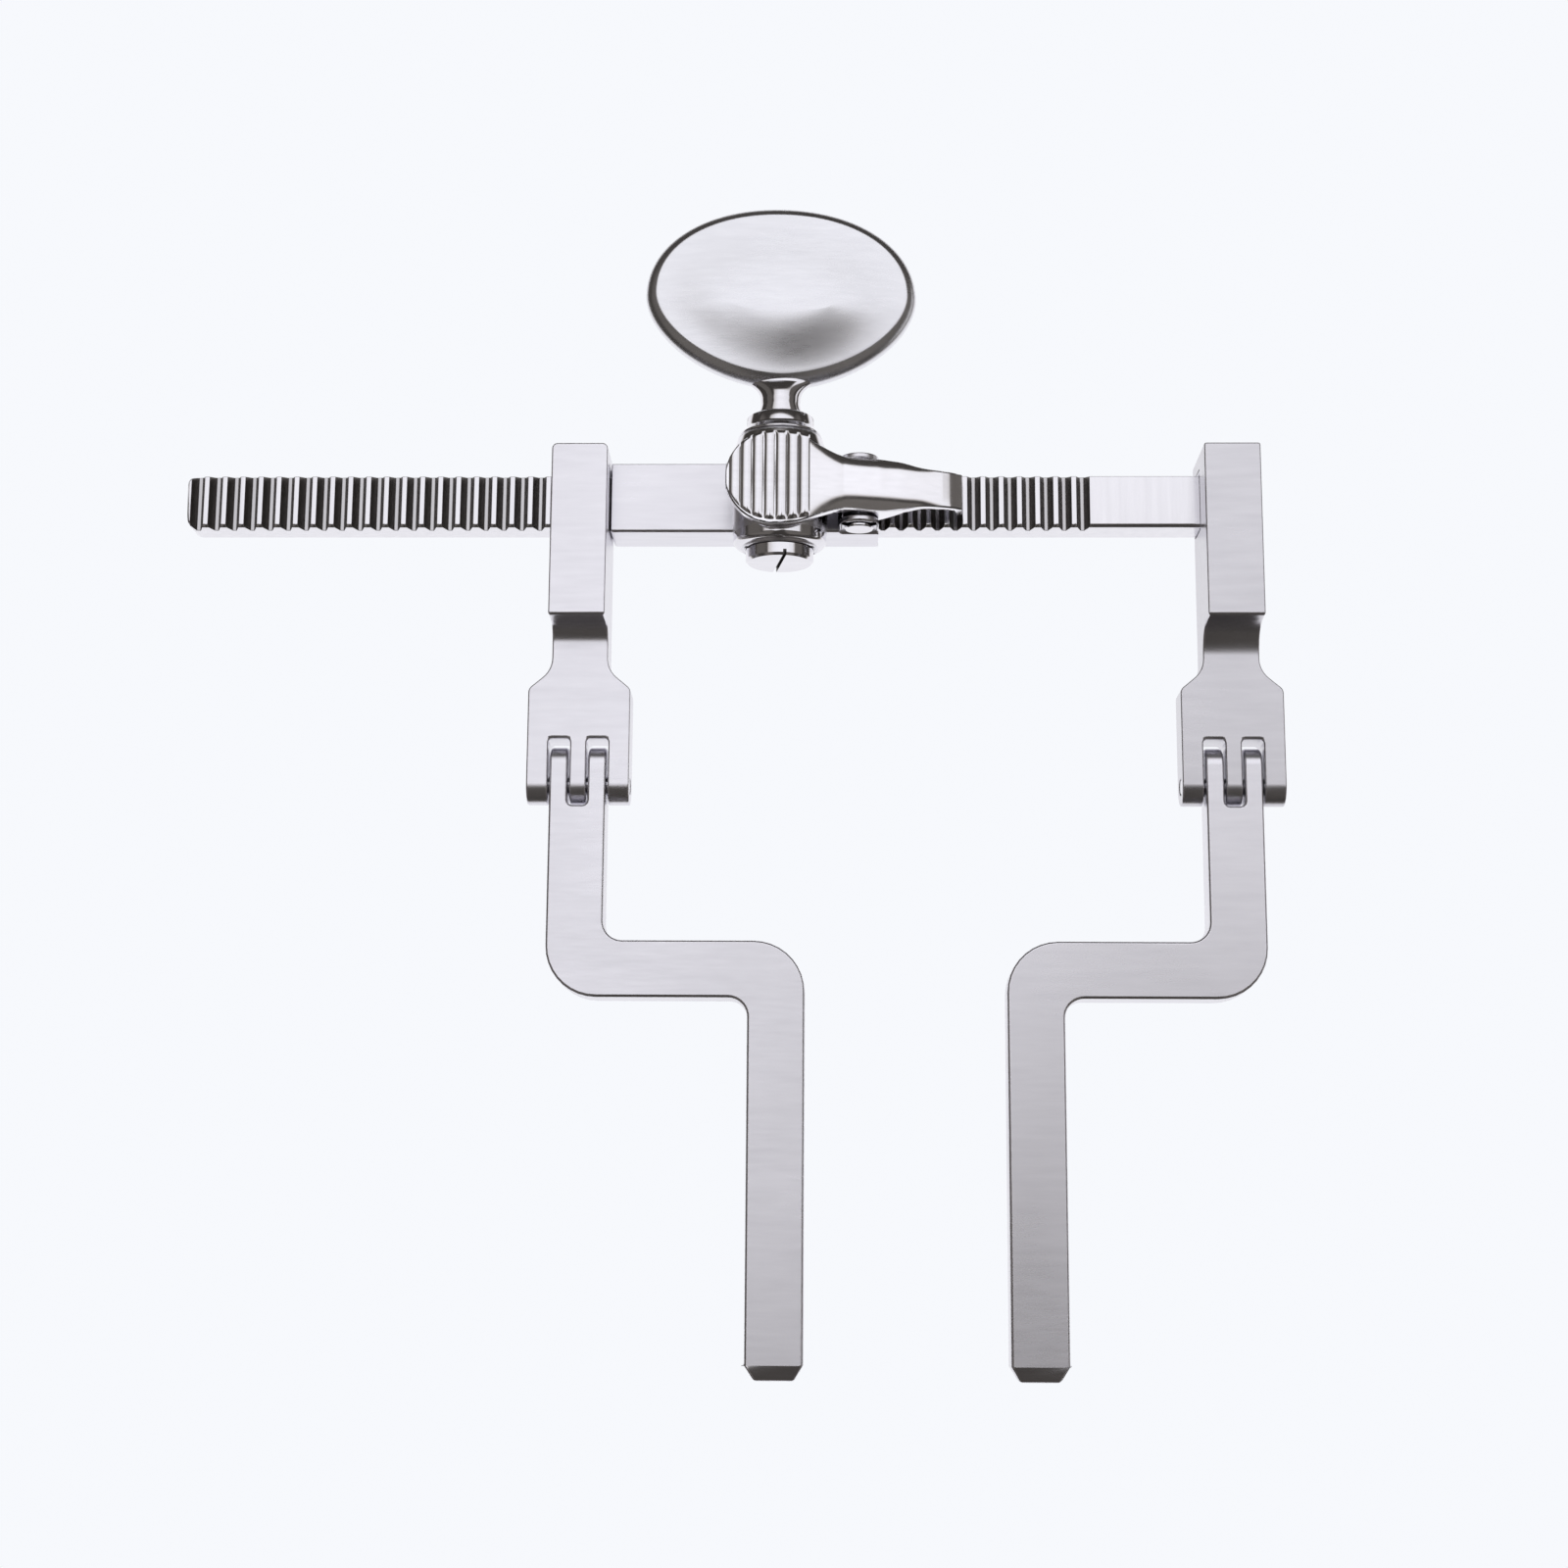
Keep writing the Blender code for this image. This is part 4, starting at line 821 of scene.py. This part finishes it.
def key_stations():
    """Inset, height and drop of each ring of the key's plate, from its back to its front."""
    half = KEY_THICKNESS / 2
    shares = [step / KEY_CROWN_STEPS for step in range(KEY_CROWN_STEPS - 1, 0, -1)]
    spread = KEY_HALF_HEIGHT - KEY_RIM_BULGE
    stations = []
    for share in shares:
        crown = KEY_BACK_CROWN * (1 - (1 - share) ** 2)
        stations.append((KEY_RIM_BULGE + spread * share, -half - crown))
    radius = (KEY_RIM_BULGE ** 2 + half ** 2) / (2 * KEY_RIM_BULGE)
    lean = math.asin(half / radius)
    for step in range(-KEY_RIM_STEPS, KEY_RIM_STEPS + 1):
        angle = lean * step / KEY_RIM_STEPS
        inset, level = radius * (1 - math.cos(angle)), radius * math.sin(angle)
        if level > 0:
            inset *= KEY_FRONT_INSET / KEY_RIM_BULGE
            level *= KEY_FRONT_RIM / half
        stations.append((inset, level))
    spread = KEY_HALF_HEIGHT - KEY_FRONT_INSET
    low = math.cos(math.pi / KEY_CROWN_REACH)
    for share in reversed(shares):
        rise = (math.cos(math.pi * (1 - share) / KEY_CROWN_REACH) - low) / (1 - low)
        level = KEY_FRONT_RIM + KEY_FRONT_CROWN * rise
        stations.append((KEY_FRONT_INSET + spread * share, level, KEY_PEAK_DROP * share))
    return stations


def make_key():
    """Thumb key's plate: crowned and oval, with a bulging side wall and crisp edges."""
    rings = [key_ring(*station) for station in key_stations()]
    mesh = meshed("key_plate", in_key_place(skin(rings)))
    mesh = settled(mesh, [rounding(KEY_EDGE_ROUND, 3, 26.0), EVEN_NORMALS])
    return finished(
        "thumb_key_finished", mesh, SATIN_KEY, "pinion", ["thumb_key"]
    )


def make_stem():
    """Thumb key's stem: a shoulder, a round neck and a flare that thins into the plate."""
    plate_y = KEY_CENTRE_Y - KEY_HALF_HEIGHT
    neck = STEM_FOOT + STEM_SHOULDER_HEIGHT
    top = plate_y + STEM_SINK
    corner = (STEM_SHOULDER_RADIUS - STEM_EDGE, STEM_FOOT + STEM_EDGE)
    profile = [(0.0, STEM_FOOT), (corner[0], STEM_FOOT)]
    profile += arc(corner, STEM_EDGE, -math.pi / 2, 0.0, 4)
    for step in range(1, STEM_STEPS + 1):
        height = corner[1] + (top - corner[1]) * step / STEM_STEPS
        if height < neck:
            swell = (1 - math.cos(math.pi * (neck - height) / STEM_SHOULDER_HEIGHT)) / 2
            wide = STEM_NECK_RADIUS + (STEM_SHOULDER_RADIUS - STEM_NECK_RADIUS) * swell
        else:
            wide = STEM_NECK_RADIUS + STEM_FLARE * ((height - neck) / (top - neck)) ** 3
        profile.append((wide, height))
    root = plate_y + STEM_ROOT_DEPTH
    stem = turned(profile + [(profile[-1][0], root), (0.0, root)])
    for vert in stem.verts:
        share = min(1.0, max(0.0, (vert.co.y - neck) / (top - neck)))
        limit = STEM_NECK_RADIUS + STEM_SLACK - STEM_THINNING * share ** 2
        up = vert.co.z - PINION_Z
        off_axis = max(math.hypot(vert.co.x - PINION_X, up), STEM_LEAST_OFF_AXIS)
        vert.co.z = PINION_Z + up * min(1.0, limit / off_axis)
    mesh = settled(meshed("key_stem", stem), [EVEN_NORMALS])
    return finished("key_stem", mesh, POLISHED, "pinion")


def make_barrel():
    """Polished barrel sleeve over the pinion, rounded below and coned above."""
    edge = BARREL_EDGE
    outer = [(BARREL_LOWER_MOUTH - edge, -BARREL_HALF)]
    wide = BARREL_RADIUS - BARREL_LOWER_MOUTH - BARREL_ROUND_STOP
    for step in range(BARREL_ROUND_STEPS + 1):
        angle = math.pi / 2 * step / BARREL_ROUND_STEPS
        rise = BARREL_ROUND_HEIGHT * (1 - math.cos(angle))
        outer.append((BARREL_LOWER_MOUTH + wide * math.sin(angle), edge - BARREL_HALF + rise))
    outer += [
        (BARREL_RADIUS, BARREL_FULL_FROM),
        (BARREL_RADIUS, BARREL_STRAIGHT - edge),
        (BARREL_RADIUS - BARREL_SHOULDER, BARREL_STRAIGHT + edge),
        (BARREL_UPPER_MOUTH + BARREL_MOUTH_LIP, BARREL_HALF - edge),
        (BARREL_UPPER_MOUTH - edge, BARREL_HALF),
        (BORE_RADIUS, BARREL_HALF),
        (BORE_RADIUS, -BARREL_HALF),
    ]
    mesh = meshed("barrel_sleeve", turned(outer, 128, closed=True))
    mesh = settled(mesh, [rounding(BARREL_FINE_ROUND, 3, 30.0), EVEN_NORMALS])
    return finished("barrel_sleeve", mesh, POLISHED, "slider")


def make_plug():
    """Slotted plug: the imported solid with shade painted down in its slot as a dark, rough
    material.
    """
    bm = joined_up("lower_plug")
    low = min(vert.co.y for vert in bm.verts)
    inside = []
    for face in bm.faces:
        middle = face.calc_center_median()
        off_axis = math.hypot(middle.x - PINION_X, middle.z - PINION_Z)
        wall = abs(face.normal.y) < SLOT_WALL_LEAN and off_axis < SLOT_REACH
        wall = wall and middle.y < low + SLOT_DEPTH
        floor = face.normal.y < SLOT_FLOOR_LEAN and middle.y > low + SLOT_FLOOR_FROM
        floor = floor and middle.y < -BARREL_HALF - SLOT_FLOOR_TO
        inside.append(wall or floor)
    mesh = meshed("lower_plug_finished", bm)
    mesh.set_sharp_from_angle(angle=math.radians(30))
    mesh = settled(mesh, [EVEN_NORMALS])
    piece = finished(
        "lower_plug_finished", mesh, POLISHED, "slider", ["lower_plug"]
    )
    # The slot's walls and floor take the painted shade
    mesh.materials.append(SLOT_SHADE)
    for polygon, dull in zip(mesh.polygons, inside):
        polygon.material_index = 1 if dull else 0
    return piece


def make_collar():
    """Collar at the barrel's upper mouth: a foot that sweeps in to a narrow ring."""
    outer, spigot_foot = COLLAR_SPIGOT
    top = SEAT + COLLAR_HEIGHT
    profile = [
        (COLLAR_BORE, spigot_foot), (outer, spigot_foot), (outer, SEAT),
        (COLLAR_FOOT - COLLAR_FOOT_EDGE, SEAT), (COLLAR_FOOT, SEAT + COLLAR_FOOT_EDGE),
        (COLLAR_FOOT, SEAT + COLLAR_FOOT_TOP),
    ]
    swell, start, rise = COLLAR_SWEEP
    for step in range(COLLAR_STEPS + 1):
        share = step / COLLAR_STEPS
        wide = COLLAR_NECK + swell * (1 - share) ** 1.5
        profile.append((wide, SEAT + start + rise * share))
    profile += [
        (COLLAR_RING, SEAT + COLLAR_RING_FROM), (COLLAR_RING, SEAT + COLLAR_RING_TO),
        (COLLAR_RING - COLLAR_TOP_EDGE, top), (COLLAR_BORE, top),
    ]
    mesh = meshed("upper_bush_finished", turned(profile, 96, closed=True))
    mesh.set_sharp_from_angle(angle=math.radians(50))
    mesh = settled(mesh, [EVEN_NORMALS])
    return finished(
        "upper_bush_finished", mesh, POLISHED, "slider", ["upper_bush"]
    )


POLISHED_NODES = (
    "lever_pivot_pin", "pinion_shaft", "thrust_washer", "key_cross_pin", "rack_dowel",
    "fixed_hinge_pin", "moving_hinge_pin",
)
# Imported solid, body, finish, wide rounding and fine rounding
SATIN_PIECES = (
    ("fixed_arm_base", "rack", SATIN_BASE, 0.42 * MM, 0.22 * MM),
    ("moving_arm_base", "slider", SATIN, 0.42 * MM, 0.22 * MM),
    ("fixed_blade_arm", "fixed_arm", SATIN, 0.28 * MM, 0.14 * MM),
    ("moving_blade_arm", "moving_arm", SATIN, 0.28 * MM, 0.14 * MM),
    ("slider_housing", "slider", SATIN, 0.42 * MM, 0.18 * MM),
)


def polish(node):
    """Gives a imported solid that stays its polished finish."""
    mesh = NODES[node].data
    if not mesh.materials:
        mesh.materials.append(POLISHED)
    for index in range(len(mesh.materials)):
        mesh.materials[index] = POLISHED


def lay_floor():
    """Plain pale floor that shows no shadow and isn't mirrored in the steel."""
    mesh = bpy.data.meshes.new("table")
    half = FLOOR_SIZE / 2
    corners = [(-half, -half), (half, -half), (half, half), (-half, half)]
    mesh.from_pydata([(x, y, -FLOOR_DROP) for x, y in corners], [], [(0, 1, 2, 3)])
    floor = bpy.data.objects.new("table", mesh)
    bpy.context.scene.collection.objects.link(floor)
    made = bpy.data.materials.new("table_white")
    made.use_nodes = True
    shader = made.node_tree.nodes["Principled BSDF"]
    shader.inputs["Base Color"].default_value = (0.0, 0.0, 0.0, 1.0)
    shader.inputs["Specular IOR Level"].default_value = 0.0
    shader.inputs["Roughness"].default_value = 0.9
    shader.inputs["Emission Color"].default_value = FLOOR_COLOUR
    shader.inputs["Emission Strength"].default_value = 1.0
    mesh.materials.append(made)
    floor.visible_glossy = False
    floor.visible_diffuse = False


def place_camera():
    lens = bpy.data.cameras.new("photo_view")
    lens.lens = LENS
    lens.sensor_width = SENSOR
    lens.clip_start = NEAREST_SEEN
    camera = bpy.data.objects.new("photo_view", lens)
    turn = Matrix.Identity(3)
    for angle, axis in zip(CAMERA_TURN, "XYZ"):
        turn = Matrix.Rotation(angle, 3, axis) @ turn
    camera.matrix_world = Matrix.Translation(CAMERA_AT) @ turn.transposed().to_4x4()
    bpy.context.scene.collection.objects.link(camera)
    bpy.context.scene.camera = camera


def window_light(paint, x, y, z):
    """Bright window overhead, weaker to its sides, with a near side that leans."""
    height = paint.maths("MAXIMUM", z, LOWEST_SLOPE_HEIGHT)
    across = paint.maths("DIVIDE", x, height)
    along = paint.maths("DIVIDE", y, height)
    lean = paint.maths("MAXIMUM", across, WINDOW_SKEW_REACH[0])
    lean = paint.maths("MINIMUM", lean, WINDOW_SKEW_REACH[1])
    lean = paint.times(lean, paint.fade(paint.maths("ABSOLUTE", across), WINDOW_SKEW_FADE))
    leaning = paint.minus(along, paint.times(lean, WINDOW_SKEW))
    sides = paint.times(paint.fade(across, WINDOW_LEFT), paint.fade(across, WINDOW_RIGHT))
    ends = paint.times(paint.fade(leaning, WINDOW_NEAR), paint.fade(along, WINDOW_FAR))
    above = paint.maths("GREATER_THAN", z, WINDOW_FOOT)
    window = paint.times(paint.times(sides, ends), above)
    mirrored = [-edge for edge in WINDOW_FALL]
    left = paint.times(paint.fade(across, mirrored), WINDOW_FALL_LEFT)
    right = paint.times(paint.fade(across, WINDOW_FALL), WINDOW_FALL_RIGHT)
    window = paint.times(window, paint.minus(1.0, paint.plus(left, right)))
    return paint.times(window, WINDOW_LIGHT)


def zone_light(paint, strength, *sides):
    """A zone of one brightness, from the direction values and spans that bound it."""
    zone = strength
    for source, span in sides:
        zone = paint.times(paint.fade(source, span), zone)
    return zone


def light_world():
    """Studio: a white window overhead, dark all round, white below, and a pale backdrop."""
    world = bpy.data.worlds.new("studio")
    bpy.context.scene.world = world
    world.use_nodes = True
    paint = Paint(world.node_tree)
    out = paint.add("ShaderNodeOutputWorld")
    parts = paint.add("ShaderNodeSeparateXYZ")
    paint.feed(paint.add("ShaderNodeTexCoord").outputs["Generated"], parts, "Vector")
    x, y, z = parts.outputs
    aside = paint.maths("ABSOLUTE", x)
    glow = paint.plus(window_light(paint, x, y, z), DARK_LIGHT)
    glow = paint.plus(glow, zone_light(paint, BELOW_LIGHT, (z, BELOW_FROM)))
    strip = zone_light(
        paint, STRIP_LIGHT, (x, STRIP_ACROSS), (z, STRIP_LOW), (z, STRIP_HIGH)
    )
    glow = paint.plus(glow, strip)
    front = zone_light(
        paint, FRONT_FILL_LIGHT,
        (y, FRONT_FILL_NEAR), (aside, FRONT_FILL_ASIDE), (z, FRONT_FILL_UP),
    )
    side = zone_light(paint, SIDE_FILL_LIGHT, (aside, SIDE_FILL_ASIDE), (z, SIDE_FILL_UP))
    glow = paint.maths("MAXIMUM", glow, paint.maths("MAXIMUM", front, side))
    hue = paint.add("ShaderNodeMixRGB")
    paint.feed(glow, hue, "Fac")
    paint.feed(DARK_TINT, hue, "Color1")
    paint.feed(LIGHT_TINT, hue, "Color2")
    tint = paint.add("ShaderNodeMixRGB", blend_type="MULTIPLY")
    paint.feed(1.0, tint, "Fac")
    paint.feed(hue, tint, "Color1")
    paint.feed(glow, tint, "Color2")
    field = paint.add("ShaderNodeBackground")
    paint.feed(tint, field, "Color")
    backdrop = paint.add("ShaderNodeBackground")
    paint.feed(BACKDROP_COLOUR, backdrop, "Color")
    mix = paint.add("ShaderNodeMixShader")
    paint.feed(paint.add("ShaderNodeLightPath").outputs["Is Camera Ray"], mix, 0)
    paint.feed(field, mix, 1)
    paint.feed(backdrop, mix, 2)
    paint.feed(mix, out, "Surface")


for name in POLISHED_NODES:
    polish(name)
for satin_piece in SATIN_PIECES:
    dressed(*satin_piece)
make_rack()
make_lever()
make_ribs()
make_key()
make_stem()
make_barrel()
make_collar()
make_plug()
lay_floor()
place_camera()
light_world()
bpy.context.scene.view_settings.view_transform = "Standard"
